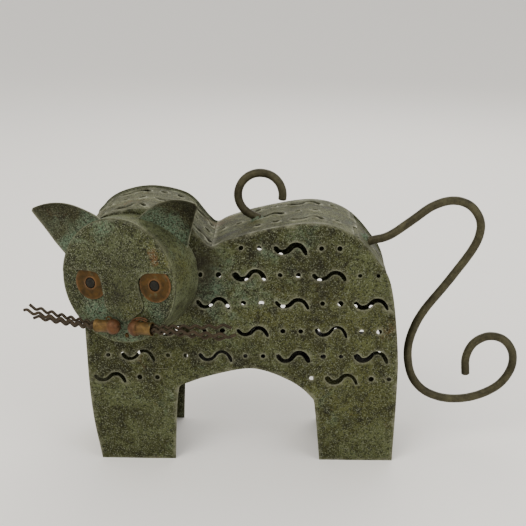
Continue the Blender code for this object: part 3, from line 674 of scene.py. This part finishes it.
def aged_copper(name, red, brown, seed, tarnish=0.5):
    """Reddish sheet copper with brown tarnish and dark specks."""
    m = Metal(name)
    broad = m.noise(5 * MM, seed, 6, 0.62, 0.7)
    grit = m.noise(0.7 * MM, seed + 1, 3, 0.6)
    colour = m.ramp(broad, (0.36, brown), (0.62, red))
    gilt = m.ramp(broad, (0.36, (0.055, 0.034, 0.011)), (0.62, (0.140, 0.085, 0.026)))
    colour = m.mix(m.value("gold"), colour, gilt)
    colour = m.mix(m.ramp(grit, (0.30, tarnish), (0.48, 0.0)), colour, (0.05, 0.028, 0.016))
    green = m.ramp(m.noise(3.2 * MM, seed + 2, 5, 0.6), (0.58, 0.0), (0.72, 0.5))
    colour = m.mix(green, colour, (0.075, 0.092, 0.052))
    # paler copper along edges and the washers' hole lips: wear, and on the lips partly a painted highlight
    colour = m.mix(m.sum("MULTIPLY", m.value("wear_and_highlight"), 0.6), colour, (0.22, 0.11, 0.05))
    roughness = m.ramp(broad, (0.35, 0.56), (0.65, 0.40))
    normal = m.bump(grit, 0.08 * MM, 0.6, m.bump(broad, 0.25 * MM, 0.5))
    return m.finish(colour, roughness, 0.55, normal)


def dark_rod(name, tone, light, seed, size=1.0, metallic=0.55):
    """Drawn iron rod: dark brown-green skin, lighter rubbed streaks and forging marks."""
    m = Metal(name)
    broad = m.noise(9 * MM * size, seed, 6, 0.65, 0.6)
    grit = m.noise(0.9 * MM * size, seed + 1, 4, 0.65)
    colour = m.ramp(broad, (0.34, tone), (0.66, light))
    colour = m.mix(m.ramp(grit, (0.34, 0.7), (0.50, 0.0)), colour, (0.018, 0.016, 0.011))
    rub = m.ramp(m.noise(2.4 * MM * size, seed + 2, 5, 0.7), (0.60, 0.0), (0.76, 0.6))
    colour = m.mix(rub, colour, (0.150, 0.140, 0.088))
    roughness = m.ramp(broad, (0.3, 0.42), (0.7, 0.66))
    normal = m.bump(grit, 0.16 * MM * size, 0.7, m.bump(broad, 0.3 * MM * size, 0.5))
    m.finish(colour, roughness, metallic, normal)
    if metallic == 0:
        m.shader.inputs["Specular IOR Level"].default_value = 0.1
    return m.material


def make_metals():
    return {
        "panel": patina("patina_panel", ((0.011, 0.010, 0.003), (0.034, 0.036, 0.010),
                                         (0.074, 0.084, 0.034)), -0.01, 0.02, 3),
        # the top sheets' pale lip colour (last argument) is worn metal and painted highlight
        "top": patina("patina_top", ((0.016, 0.014, 0.005), (0.056, 0.056, 0.022),
                                     (0.136, 0.140, 0.078)), 0.02, 0.05, 21, (0.5, 1.5, 1.0),
                      (0.30, 0.30, 0.22)),
        "face": patina("patina_face", ((0.012, 0.012, 0.004), (0.038, 0.042, 0.015),
                                       (0.078, 0.090, 0.042)), 0.0, 0.0, 37, grain=1.2),
        "band": patina("patina_band", ((0.030, 0.030, 0.012), (0.080, 0.090, 0.040),
                                       (0.135, 0.155, 0.085)), 0.0, 0.0, 41),
        "ear": patina("patina_ear", ((0.009, 0.008, 0.003), (0.024, 0.023, 0.009),
                                     (0.054, 0.058, 0.030)), 0.0, 0.01, 49),
        "solder": patina("patina_solder", ((0.034, 0.034, 0.018), (0.078, 0.082, 0.048),
                                           (0.125, 0.135, 0.088)), 0.05, 0.0, 61),
        "copper": aged_copper("copper_washer", (0.074, 0.038, 0.008), (0.032, 0.020, 0.006), 5),
        "cap": aged_copper("copper_cap", (0.110, 0.048, 0.020), (0.054, 0.028, 0.014), 11, 0.5),
        "rod": dark_rod("iron_rod", (0.028, 0.024, 0.012), (0.078, 0.071, 0.038), 15),
        "wire": dark_rod("iron_wire", (0.020, 0.015, 0.009), (0.060, 0.042, 0.024), 18, 0.4),
        "iron": dark_rod("black_iron", (0.012, 0.011, 0.009), (0.045, 0.042, 0.034), 27),
        "pupil": dark_rod("soot_black", (0.006, 0.006, 0.005), (0.020, 0.018, 0.014), 29, 0.6, 0.0),
        "inside": dark_rod("sooty_steel", (0.030, 0.028, 0.024), (0.130, 0.120, 0.100), 33, 1.6),
    }


# --- the body

def front_panel_loops():
    """Outline and holes of the left panel in (X, Z)."""
    return outer_loops("side_panel_left", lambda p: Vector((p.x, p.z, -p.y)))


def make_panels(metals):
    for name, node, side, seed in (("panel_left_sheet", "side_panel_left", -1, 5),
                                   ("panel_right_sheet", "side_panel_right", 1, 11)):
        low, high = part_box(node)
        surface = low.y if side < 0 else high.y
        loops = outer_loops(node, lambda p, side=side: Vector((p.x, p.z, side * p.y)))
        rng = random.Random(seed)
        outline = smooth(loops[0], closed=True)
        holes = fine_holes(loops[1:], rng)
        piece = sheet_piece(name, outline, holes,
                            lambda u, v, h, side=side, surface=surface: Vector((u, surface + side * h, v)),
                            seed)
        y = surface / MM
        paint(piece, "teal_patch", (((-28, y, 118), 22, 0.14), ((6, y, 124), 26, 0.12),
                                    ((20, y, 141), 18, 0.10), ((-40, y, 100), 16, 0.12),
                                    ((-85, y, 35), 30, 0.07), ((60, y, 18), 26, 0.06)))
        paint(piece, "rust_patch", (((12, y, 112), 16, 0.08), ((78, y, 92), 14, 0.10),
                                    ((52, y, 78), 14, 0.07), ((-36, y, 130), 10, 0.10)))
        paint(piece, "olive_patch", (((44, y, 92), 28, 0.45), ((20, y, 40), 20, 0.3),
                                     ((50, y, 40), 26, 0.45), ((-70, y, 70), 26, 0.3),
                                     ((-6, y, 96), 18, 0.5)))
        # painted shade: the spots near x -44 darken the panel behind the head; the small spots near x -88
        # and -79 are dark punch marks on the front leg, and the rest are darker patches
        paint(piece, "painted_shade_and_dark_tone", (((-44, y, 130), 12, 0.75), ((20, y, 118), 16, 0.3), ((66, y, 104), 12, 0.3),
                               ((-14, y, 68), 10, 0.25), ((-44, y, 120), 10, 0.6), ((-46, y, 104), 8, 0.45),
                               ((-60, y, 82), 10, 0.25), ((-88, y, 33), 2.5, 0.5),
                               ((-79, y, 30), 1.6, 0.9)))
        dress(piece, metals["panel"], "body", "patina_sheet", node)


class BackLine:
    """The panel's top outline measured by its length from the front toe."""

    def __init__(self):
        loop = front_panel_loops()[0]
        low = [k for k, p in enumerate(loop) if p.y < 0.5 * MM]
        toe = min(low, key=lambda k: loop[k].x)
        heel = max(low, key=lambda k: loop[k].x)
        step = 1 if loop[(toe + 1) % len(loop)].y > 1 * MM else -1
        chain = [loop[toe]]
        k = toe
        while k != heel:
            k = (k + step) % len(loop)
            chain.append(loop[k])
        self.points = evenly(smooth(chain, step=2 * MM), 1.5 * MM)
        self.length = [0.0]
        for a, b in zip(self.points, self.points[1:]):
            self.length.append(self.length[-1] + (b - a).length)

    def frame_at(self, s):
        s = max(0.0, min(self.length[-1], s))
        step = self.length[-1] / (len(self.points) - 1)
        k = min(len(self.points) - 2, int(s / step))
        t = (s - self.length[k]) / step
        here = self.points[k].lerp(self.points[k + 1], t)

        def tangent(j):
            j = max(1, min(len(self.points) - 2, j))
            return self.points[j + 1] - self.points[j - 1]

        along = tangent(k).lerp(tangent(k + 1), t).normalized()
        return here, Vector((-along.y, along.x))

    def unfold(self, p):
        """World point to (length along the line, Y, rise above it)."""
        flat = Vector((p.x, p.z))
        best = None
        for k, (a, b) in enumerate(zip(self.points, self.points[1:])):
            side = b - a
            t = max(0.0, min(1.0, (flat - a).dot(side) / side.length_squared))
            away = flat - (a + side * t)
            if best is None or away.length < best[0]:
                normal = Vector((-side.y, side.x)).normalized()
                best = (away.length, self.length[k] + side.length * t, away.dot(normal))
        return Vector((best[1], p.y, best[2]))

    def place(self, s, y, rise):
        here, normal = self.frame_at(s)
        at = here + normal * rise
        return Vector((at.x, y, at.y))


def make_strips(metals, line):
    """Chest strip, rear strip and lid, bent along the back line. The lid's end is rolled over the hinge."""
    pin_at = line.unfold(centre_of("hinge_pin"))
    pin = pin_at.x
    for name, node, body, seed in (("chest_sheet", "chest_strip", "body", 31),
                                   ("rear_sheet", "rear_strip", "body", 37),
                                   ("lid_sheet", "back_lid", "lid", 43)):
        loops = outer_loops(node, line.unfold)
        tops = [line.unfold(vert.co).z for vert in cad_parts[node].data.vertices]
        rise = max(tops)
        rng = random.Random(seed)
        outline = smooth(loops[0], closed=True)
        low, high = corners_of(outline)
        if node == "rear_strip":
            low.x = pin + ROLL_RADIUS + ROLL_CLEARANCE
        corners = [low, Vector((high.x, low.y)), high, Vector((low.x, high.y))]
        if node == "back_lid":      # only the part over the lid's own knuckle reaches past the pin
            near, far = [corner.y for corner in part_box("hinge_knuckle_lid")]
            end = pin + ROLL_PAST_PIN
            corners[2:2] = [Vector((high.x, near)), Vector((end, near)), Vector((end, far)),
                            Vector((high.x, far))]
        outline = smooth(corners, closed=True)
        holes = fine_holes(loops[1:], rng, STRIP_SLOTS_BOLDER)

        def place(u, v, height, rise=rise, lid=node == "back_lid"):
            t = max(0.0, min(1.0, (u - pin + ROLL_STARTS) / ROLL_RISES_OVER)) if lid else 0.0
            roll = t * t * (3 - 2 * t)
            lift = (pin_at.z + ROLL_RADIUS - rise) * roll
            return line.place(u, v, rise + lift + height * (1 - ROLL_THINNING * roll))

        piece = sheet_piece(name, outline, holes, place, seed, dents=0.9, lip=STRIP_LIP)
        paint(piece, "teal_patch", (((0, 10, 150), 14, 0.12), ((55, 5, 140), 12, 0.14),
                                    ((-60, 17, 158), 25, 0.04)))
        paint(piece, "rust_patch", (((-36, 38, 138), 14, 0.2), ((-80, 10, 156), 14, 0.08),
                                    ((48, -5, 143), 9, 0.1), ((20, 30, 151), 16, 0.07)))
        paint(piece, "olive_patch", (((-12, 10, 146), 14, 0.6), ((40, 17, 147), 20, 0.5),
                                     ((-90, 10, 150), 20, 0.3)))
        # painted shade: the spot near x -44 darkens the strip behind the head; the other two are darker
        # patches
        paint(piece, "painted_shade_and_dark_tone", (((-44, -6, 140), 9, 0.35), ((-20, 17, 147), 14, 0.3),
                               ((70, 17, 128), 16, 0.35)))
        dress(piece, metals["top"], body, "patina_sheet", node)


def make_solder(metals, line):
    """Uneven solder beads where the fixed strips meet the side panels."""
    for strip in ("chest_strip", "rear_strip"):
        low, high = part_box(strip)
        ends = [line.unfold(vert.co).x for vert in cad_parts[strip].data.vertices]
        start, end = min(ends) + 2 * MM, max(ends) - 3 * MM
        for side, y in (("left", low.y), ("right", high.y)):
            points, count = [], int((end - start) / (1.2 * MM))
            for k in range(count + 1):
                s = start + (end - start) * k / count
                wander = 0.25 * MM * lumps((s, y, 0), 7 * MM, 3)
                inward = 0.25 * MM if side == "left" else -0.25 * MM
                points.append(line.place(s, y + inward + wander, -1.15 * MM))
            bead = rod_piece("solder_" + strip + "_" + side, points, 0.55 * MM, 71, 8, 1.0 * MM, 0.5)
            paint(bead, "teal_patch", (((60, 0, 130), 20, 0.1),))
            dress(bead, metals["solder"], "body", "patina_sheet")


def collar(name, base, axis, inner, outer, height, seed):
    """Lumpy fillet of solder round the foot of a rod."""
    verts = []
    side = axis.orthogonal().normalized()
    up = axis.cross(side)
    sides, rows = 28, 8
    for r in range(rows + 1):
        t = r / rows
        radius = outer + (inner - outer) * math.sin(t * math.pi / 2)
        rise = height * (1 - math.cos(t * math.pi / 2)) ** 0.8
        for j in range(sides):
            angle = 2 * math.pi * j / sides
            way = side * math.cos(angle) + up * math.sin(angle)
            wobble = 1 + 0.22 * lumps(way * 3 * MM, 2.2 * MM, seed) * (1 - t * 0.6)
            point = base + way * radius * wobble + axis * (rise - 0.25 * MM)
            verts.append(point + axis * 0.2 * MM * lumps(point, 1.5 * MM, seed + 1))
    caps = [[j for j in reversed(range(sides))], [rows * sides + j for j in range(sides)]]
    return solid_piece(name, verts, joined(range(0, len(verts), sides), sides) + caps)


def make_rods(metals):
    low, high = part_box("tail_rod")
    tail_end = Vector((high.x - 30 * MM, (low.y + high.y) / 2, low.z + 18 * MM))
    tail = ring_centres("tail_rod", tail_end)
    piece = rod_piece("tail_wire", smooth(tail, step=1 * MM)[::-1], 2.6 * MM, 81)
    dress(piece, metals["rod"], "body", "dark_rod", "tail_rod")
    low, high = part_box("curl_handle")
    hook_end = Vector((high.x, (low.y + high.y) / 2, low.z + 10 * MM))
    hook = ring_centres("curl_handle", hook_end)
    piece = rod_piece("handle_curl", smooth(hook, step=1 * MM)[::-1], 2.5 * MM, 83)
    dress(piece, metals["rod"], "lid", "dark_rod", "curl_handle")


def make_feet_of_rods(metals, line):
    """Solder at the handle's foot on the lid and at the tail's root on the rear strip."""
    for name, node, body, seed, near in (("solder_handle", "curl_handle", "lid", 91, "low"),
                                         ("solder_tail", "tail_rod", "body", 93, "left")):
        verts = [vert.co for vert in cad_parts[node].data.vertices]
        key = (lambda p: p.z) if near == "low" else (lambda p: p.x)
        edge = min(key(p) for p in verts)
        foot = [p for p in verts if key(p) < edge + 1.6 * MM]
        middle = sum(foot, Vector()) / len(foot)
        s = line.unfold(middle).x
        here, normal = line.frame_at(s)
        axis = Vector((normal.x, 0, normal.y))
        rise = 0.0 if body == "lid" else -1.3 * MM
        base = line.place(s, middle.y, rise)
        piece = collar(name, base, axis, 2.5 * MM, 5.0 * MM, 2.4 * MM, seed)
        paint(piece, "teal_patch", ((middle / MM, 12, 0.2),))
        dress(piece, metals["solder"], body, "patina_sheet")


# --- the head, in its own frame: X to the viewer's right, Y into the head, Z up

def head_frame():
    """Frame of the head, read from the face disc and the two pupils."""
    work = welded("face_disc")
    work.normal_update()
    into = max(work.faces, key=lambda face: face.calc_area()).normal.copy()
    if into.y < 0:
        into = -into
    disc = [vert.co.copy() for vert in work.verts]
    work.free()
    centre = centre_of("face_disc")
    across = centre_of("eye_pupil_left") - centre_of("eye_pupil_right")
    across = (across - into * across.dot(into)).normalized()
    up = across.cross(into)
    front = min((p - centre).dot(into) for p in disc)
    turn = Matrix((across, into, up)).transposed().to_4x4()
    return Matrix.Translation(centre + into * front) @ turn


def rolled_edge(u, v):
    """How far the face has fallen away at a place near its edge."""
    return DOME_EDGE * (max(0.0, math.hypot(u, v) - (HEAD_RADIUS - DISC_ROUNDING)) / DISC_ROUNDING) ** 2


def make_disc(metals, head):
    """Face disc, a shallow dome with a rolled edge."""
    def relief(u, v):
        return -rolled_edge(u, v)

    outline = circle(Vector((0, 0)), HEAD_RADIUS, 160)
    piece = sheet_piece("face_plate", outline, [], lambda u, v, h: head @ Vector((u, -h, v)), 51,
                        grid=1.7 * MM, relief=relief, edge_wear=0.3)
    paint(piece, "teal_patch", [((-16, -22), 14, 0.26), ((20, -22), 14, 0.2),
                                ((3, -31), 8, 0.3), ((-31, 2), 8, 0.16),
                                ((30, -8), 9, 0.12)], head)
    paint(piece, "rust_patch", [((26, -10), 6, 0.08)], head)
    paint(piece, "olive_patch", [((10, -20), 10, 0.5)], head)
    # painted shade between the two muzzle caps, and a darker spot near the right edge
    paint(piece, "painted_shade_and_dark_tone", [((0, -25), 5, 0.35), ((33, -14), 6, 0.2)], head)
    dress(piece, metals["face"], "body", "patina_sheet", "face_disc")


def at(head, u, v, depth=0.0):
    """A place on the face in millimetres, as a world place in millimetres."""
    return (head @ (Vector((u, depth, v)) * MM)) / MM


def panel_reach(head, point, surface):
    """Depth in the head's frame at which a line into the head meets the left panel."""
    start = head @ point
    into = head.to_3x3() @ Vector((0, 1, 0))
    return point.y + (surface - start.y) / into.y


def band_piece(name, radius, first, last, thickness, inset, seed, columns, head):
    """Part of the drum's wall, between two angles, from the face back to the side panel."""
    rows = 18
    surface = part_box("side_panel_left")[0].y
    verts, wear_and_highlight = [], []
    closed = last - first >= 359.9
    count = columns if closed else columns + 1
    for skin in (0, 1):
        for r in range(rows + 1):
            for c in range(count):
                angle = math.radians(first + (last - first) * c / columns)
                base = Vector((radius * math.cos(angle), inset, radius * math.sin(angle)))
                end = max(inset + 1.5 * MM, panel_reach(head, base, surface) - 0.1 * MM)
                depth = inset + (end - inset) * r / rows
                point = Vector((base.x, depth, base.z))
                bulge = 0.35 * MM * lumps(point, 16 * MM, seed) + 0.05 * MM * lumps(point, 3 * MM, seed + 1)
                size = radius + bulge * math.sin(math.pi * r / rows) - skin * thickness
                verts.append(head @ Vector((size * math.cos(angle), depth, size * math.sin(angle))))
                border = min(r, rows - r) / 2.0
                if not closed:
                    border = min(border, min(c, columns - c) / 1.0)
                # painted highlight: the pale rim is stronger on the upper half of the band, where the light
                # falls
                upper = 0.12 + 0.6 * max(0.0, math.sin(angle))
                wear_and_highlight.append(math.exp(-border * 1.4) * upper * (1.0 if skin == 0 else 0.3))
    return solid_piece(name, verts, two_skins(rows, columns, closed), wear_and_highlight, 45)


def make_band(metals, head):
    """The drum's wall, and the brow sheet's lap over its upper half."""
    band = band_piece("head_drum", HEAD_RADIUS - 0.1 * MM, 0, 360, SHEET, 0.6 * MM, 57, 200, head)
    lap = band_piece("brow_lap", HEAD_RADIUS + 0.35 * MM, 6, 172, WRAP_SHEET, 0.9 * MM, 59, 96, head)
    for piece in (band, lap):
        paint(piece, "teal_patch", [((-10, 36, 6), 12, 0.16), ((34, 12, 20), 10, 0.10),
                                    ((36, -12, 14), 12, 0.12)], head)
        paint(piece, "rust_patch", [((32, 14, 8), 8, 0.12)], head)
        paint(piece, "olive_patch", [((36, 6, 10), 14, 0.9), ((10, 36, 8), 16, 0.5)], head)
        # a darker spot towards the upper right of the band
        paint(piece, "painted_shade_and_dark_tone", [((30, -20, 24), 12, 0.35)], head)
    dress(band, metals["band"], "body", "patina_sheet", "head_band")
    dress(lap, metals["band"], "body", "patina_sheet")


def make_brow(metals, head):
    """Brow plate with its long nose: it lies on the face and rides up over the eye washers."""
    back = head.inverted()

    def unfold(p):
        local = back @ p
        return Vector((local.x, local.z, -local.y))

    outline = smooth(outer_loops("brow_plate", unfold)[0], closed=True, step=0.9 * MM)
    eyes = [back @ centre_of("eye_washer_" + side) for side in ("left", "right")]
    middle = (eyes[0].x + eyes[1].x) / 2

    def relief(u, v):
        lift = 0.0
        for eye in eyes:
            away = math.hypot(u - eye.x, v - eye.z)
            lift = max(lift, 0.9 * MM / (1 + math.exp((away - 11.2 * MM) / (0.6 * MM))))
        ridge = math.exp(-((u - middle) / (7.0 * MM)) ** 2)
        low = 1 / (1 + math.exp((v - 6 * MM) / (5 * MM)))
        lift += 0.9 * MM * ridge * low
        return lift - rolled_edge(u, v)

    piece = sheet_piece("brow_sheet", outline, [],
                        lambda u, v, h: head @ Vector((u, -0.75 * MM - h, v)), 53, 0.6 * MM,
                        grid=1.5 * MM, relief=relief, edge_wear=0.45)
    paint(piece, "teal_patch", [((-8, 33), 12, 0.24), ((-24, 20), 10, 0.10),
                                ((-24, 4), 6, 0.1), ((0, -15), 5, 0.12)], head)
    paint(piece, "rust_patch", [((25, 18), 4, 0.42), ((26, 12), 4, 0.34)], head)
    paint(piece, "olive_patch", [((33, 15), 8, 1.0), ((24, 26), 8, 0.4),
                                 ((9, -14), 7, 0.6), ((2, -2), 10, 0.3)], head)
    # darker between the eyes and down the nose
    paint(piece, "painted_shade_and_dark_tone", [((4, 8), 14, 0.36), ((2, -8), 9, 0.6)], head)
    dress(piece, metals["face"], "body", "patina_sheet", "brow_plate")


def make_eyes(metals, head):
    back = head.inverted()
    for side, seed in (("left", 1), ("right", 2)):
        washer = "eye_washer_" + side
        middle = back @ centre_of(washer)
        middle = Vector((middle.x, middle.z))
        rng = random.Random(seed)
        outline = circle(middle, WASHER_RADIUS, 72, rng.uniform(0.96, 1.0), rng.uniform(0, 3))
        hole = circle(middle, WASHER_HOLE, 36)

        def relief(u, v, middle=middle):
            r = math.hypot(u - middle.x, v - middle.y)
            edge = max(0.0, r - 8.8 * MM) / (1.2 * MM)
            lip = math.exp(-((r - WASHER_HOLE) / (0.8 * MM)) ** 2)
            return -0.35 * MM * edge ** 2 + 0.25 * MM * lip

        piece = sheet_piece("eye_ring_" + side, outline, [hole],
                            lambda u, v, h: head @ Vector((u, -1.1 * MM - h, v)), 60 + seed,
                            0.8 * MM, 1.1 * MM, 0.4, relief)
        dress(piece, metals["copper"], "body", "aged_copper", washer)
        profile = [(0.0, 0.0), (2.85 * MM, 0.0), (2.9 * MM, 1.2 * MM), (2.7 * MM, 1.6 * MM),
                   (2.2 * MM, 1.85 * MM), (1.4 * MM, 2.0 * MM), (0.0, 2.05 * MM)]
        stand = head @ Matrix.Translation((middle.x, -0.2 * MM, middle.y)) @ FORWARD
        ball = turned_piece("eye_dot_" + side, profile, stand, 32, seed, 0.03)
        dress(ball, metals["pupil"], "body", "dark_iron", "eye_pupil_" + side)


FORWARD = Matrix.Rotation(math.radians(90), 4, "X")   # turned pieces stand out of the face


def make_muzzle(metals, head):
    """Two spun copper caps lying sideways, domed ends inwards, rolled lips at the open ends."""
    back = head.inverted()
    for side, way in (("left", 1), ("right", -1)):
        node = "muzzle_cap_" + side
        local = [back @ vert.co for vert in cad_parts[node].data.vertices]
        first, last = min(p.x for p in local), max(p.x for p in local)
        depth = (min(p.y for p in local) + max(p.y for p in local)) / 2
        height = (min(p.z for p in local) + max(p.z for p in local)) / 2
        radius = (max(p.z for p in local) - min(p.z for p in local)) / 2
        length = last - first
        dome, tube = radius * 1.09, radius * 0.88
        profile = []
        for k in range(15):
            angle = math.radians(112) * k / 14
            profile.append((dome * math.sin(angle), dome * (1 - math.cos(angle))))
        neck = profile[-1][1]
        profile += [(tube, neck + 0.3 * MM), (tube * 0.98, length * 0.70), (tube, length * 0.92),
                    (tube * 1.06, length * 0.97), (tube * 1.04, length),
                    (tube * 0.90, length), (tube * 0.84, length * 0.96)]
        inner = tube * 0.83
        for k in range(12, -1, -1):
            angle = math.pi / 2 * k / 12
            profile.append((inner * math.sin(angle), radius - inner * math.cos(angle)))
        start = Vector((first if way > 0 else last, depth, height))
        lie_down = Matrix.Rotation(math.radians(way * 90), 4, "Y")
        piece = turned_piece("cap_" + side, profile, head @ Matrix.Translation(start) @ lie_down,
                             40, 90 + way, 0.03)
        gold = []
        for vert in piece.data.vertices:
            along = abs((back @ vert.co).x - start.x) - neck
            gold.append(1 / (1 + math.exp(-along / (0.5 * MM))))
        set_values(piece.data, "gold", gold)
        dress(piece, metals["cap"], "body", "aged_copper", node)
    rivet = back @ centre_of("chin_rivet")
    stand = head @ Matrix.Translation((rivet.x, -0.1 * MM, rivet.z)) @ FORWARD
    profile = [(0.0, 0.0), (1.4 * MM, 0.0), (1.35 * MM, 0.4 * MM), (1.0 * MM, 0.8 * MM), (0.0, 0.95 * MM)]
    dress(turned_piece("chin_dot", profile, stand, 20, 5, 0.04), metals["copper"], "body",
          "aged_copper", "chin_rivet")


def make_cap_wires(metals, head):
    """A small loop of wire on one cap, and bent wires over the other, as they were soldered on."""
    back = head.inverted()
    right = back @ centre_of("muzzle_cap_right")
    left = back @ centre_of("muzzle_cap_left")
    loop = []
    for k in range(26):
        angle = 2 * math.pi * k / 20
        loop.append(head @ (right + Vector((2.3 * MM + 1.7 * MM * math.cos(angle),
                                            -0.6 * MM - 0.05 * MM * k,
                                            4.9 * MM + 1.2 * MM * math.sin(angle)))))
    wire = rod_piece("cap_loop", smooth(loop, step=0.3 * MM), 0.33 * MM, 101, 10, 0.3 * MM, 0.05)
    dress(wire, metals["copper"], "body", "aged_copper")
    for name, radius, lift in (("cap_wire_outer", 5.6 * MM, 0.4 * MM), ("cap_wire_inner", 4.75 * MM, 0.0)):
        arc = []
        for k in range(15):
            angle = math.radians(200 - 150 * k / 14)
            arc.append(head @ (left + Vector((radius * 1.25 * math.cos(angle) - 0.6 * MM,
                                              1.0 * MM, radius * math.sin(angle) + lift))))
        wire = rod_piece(name, smooth(arc, step=0.4 * MM), 0.42 * MM, 103, 10, 0.4 * MM, 0.06)
        dress(wire, metals["cap"], "body", "aged_copper")


def make_whiskers(metals, head):
    back = head.inverted()
    for side, way in (("left", 1), ("right", -1)):
        for k, level in enumerate(("upper", "middle", "lower")):
            node = "whisker_" + side + "_" + level
            tip = max((vert.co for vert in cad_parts[node].data.vertices),
                      key=lambda p: way * (back @ p).x)
            centres = ring_centres(node, tip)[::-1]
            bends = rounded(smooth(centres, step=0.4 * MM, corner=math.pi), 5)
            name = "wire_" + side + "_" + level
            piece = rod_piece(name, bends, WHISKER_RADIUS, 110 + k, 12, 0.45 * MM, 0.05)
            dress(piece, metals["wire"], "body", "dark_rod", node)


EARS = {   # outer and inner foot as (degrees round the band, depth in mm), and the tip
    "left": ((24.0, 25.0), (72.0, 11.0), (48.5, 14.0, 42.5)),
    "right": ((156.0, 2.0), (107.0, 6.0), (-54.5, 3.0, 41.0)),
}


def make_ears(metals, head):
    """Cupped leaves of sheet with a curled rim, soldered to the band."""
    for side, (outer, inner, tip) in EARS.items():
        foot_radius = HEAD_RADIUS + EAR_STANDOFF
        end = Vector(tip) * MM

        def foot(s, outer=outer, inner=inner):
            angle = math.radians(outer[0] + (inner[0] - outer[0]) * s)
            depth = (outer[1] + (inner[1] - outer[1]) * s) * MM
            return Vector((foot_radius * math.cos(angle), depth, foot_radius * math.sin(angle)))

        columns, rows = 40, 44
        verts, wear_and_highlight, tips = [], [], []
        for skin in (-0.5, 0.5):
            for r in range(rows + 1):
                t = math.sin(math.pi / 2 * r / rows) * EAR_CUT
                for c in range(columns + 1):
                    s = c / columns
                    low = foot(0).lerp(end, t)
                    high = foot(1).lerp(end, t) + Vector((0, 0, EAR_BULGE * math.sin(math.pi * t) ** 0.8))
                    point = low.lerp(high, s) + (foot(s) - foot(0).lerp(foot(1), s)) * (1 - t) ** 2
                    point.y += EAR_CAMBER * math.sin(math.pi * s) * math.sin(math.pi * min(1, t * 1.1))
                    width = (high - low).length
                    border = min(s, 1 - s) * width
                    border = min(border, (EAR_CUT - t) * (end - foot(0.5)).length)
                    point.y -= EAR_RIM * math.exp(-(border / (1.3 * MM)) ** 2) * min(1, t * 4)
                    point.y += 0.35 * MM * lumps(point, 12 * MM, 7) + skin * EAR_SHEET
                    verts.append(head @ point)
                    wear_and_highlight.append(math.exp(-border / (0.6 * MM)))
                    tips.append(t)
        piece = solid_piece("ear_leaf_" + side, verts, two_skins(rows, columns), wear_and_highlight, 55)
        mesh = piece.data
        set_values(mesh, "teal_patch", [0.40 * (1 - t) ** 2.2 for t in tips])
        set_values(mesh, "rust_patch", [0.05 + 0.06 * t for t in tips])
        set_values(mesh, "olive_patch", [0.15] * len(tips))
        # darker towards the tip
        set_values(mesh, "painted_shade_and_dark_tone", [0.85 * t ** 0.8 for t in tips])
        dress(piece, metals["ear"], "body", "ear_sheet", "ear_" + side)


def dress_frame(metals):
    """Better metal on the CAD nodes that stay: the hinge, the tray and the candle cup."""
    for node, metal in (("hinge_knuckle_left", "top"), ("hinge_knuckle_right", "top"),
                        ("hinge_knuckle_lid", "top"), ("hinge_pin", "iron"),
                        ("belly_tray", "inside"), ("candle_cup", "inside")):
        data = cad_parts[node].data
        data.materials.clear()
        data.materials.append(metals[metal])


# --- stage, light and camera

def make_stage():
    bpy.ops.mesh.primitive_plane_add(size=14, location=(0, 3, 0))
    floor = bpy.context.object
    floor.name = "floor"
    m = Metal("pale_floor")
    m.finish((0.93, 0.905, 0.855), 0.75, 0.0, m.bump(m.noise(3 * MM, 1), 0.02 * MM, 0.2))
    floor.data.materials.append(m.material)


def area_light(name, place, target, size, power, colour):
    data = bpy.data.lights.new(name, "AREA")
    data.shape = "SQUARE"
    data.size = size
    data.energy = power
    data.color = colour
    light = bpy.data.objects.new(name, data)
    bpy.context.scene.collection.objects.link(light)
    light.location = place
    light.rotation_euler = (Vector(target) - Vector(place)).to_track_quat("-Z", "Y").to_euler()


def make_light():
    world = bpy.data.worlds.new("studio")
    bpy.context.scene.world = world
    world.use_nodes = True
    background = world.node_tree.nodes["Background"]
    background.inputs["Color"].default_value = (1.0, 0.985, 0.96, 1.0)
    background.inputs["Strength"].default_value = 0.96
    area_light("key", (-0.7, -0.9, 1.2), (0, 0, 0.08), 0.9, 14, (1.0, 0.97, 0.92))
    area_light("fill", (0.9, -0.7, 0.6), (0, 0, 0.08), 0.8, 5, (0.96, 0.98, 1.0))
    area_light("back", (0.2, 0.9, 0.9), (0, 0, 0.1), 0.9, 6, (1.0, 0.98, 0.95))


def make_camera():
    data = bpy.data.cameras.new("camera")
    data.lens = CAMERA_LENS
    data.sensor_width = CAMERA_SENSOR
    data.clip_start = 0.01
    camera = bpy.data.objects.new("camera", data)
    bpy.context.scene.collection.objects.link(camera)
    camera.location = CAMERA_AT
    forward = Vector((-math.sin(CAMERA_YAW) * math.cos(CAMERA_PITCH),
                      math.cos(CAMERA_YAW) * math.cos(CAMERA_PITCH), -math.sin(CAMERA_PITCH)))
    camera.rotation_euler = forward.to_track_quat("-Z", "Y").to_euler()
    bpy.context.scene.camera = camera


def build():
    metals = make_metals()
    line = BackLine()
    head = head_frame()
    make_camera()
    make_panels(metals)
    make_strips(metals, line)
    make_solder(metals, line)
    make_rods(metals)
    make_feet_of_rods(metals, line)
    make_disc(metals, head)
    make_band(metals, head)
    make_brow(metals, head)
    make_eyes(metals, head)
    make_muzzle(metals, head)
    make_cap_wires(metals, head)
    make_whiskers(metals, head)
    make_ears(metals, head)
    dress_frame(metals)
    make_stage()
    make_light()


build()
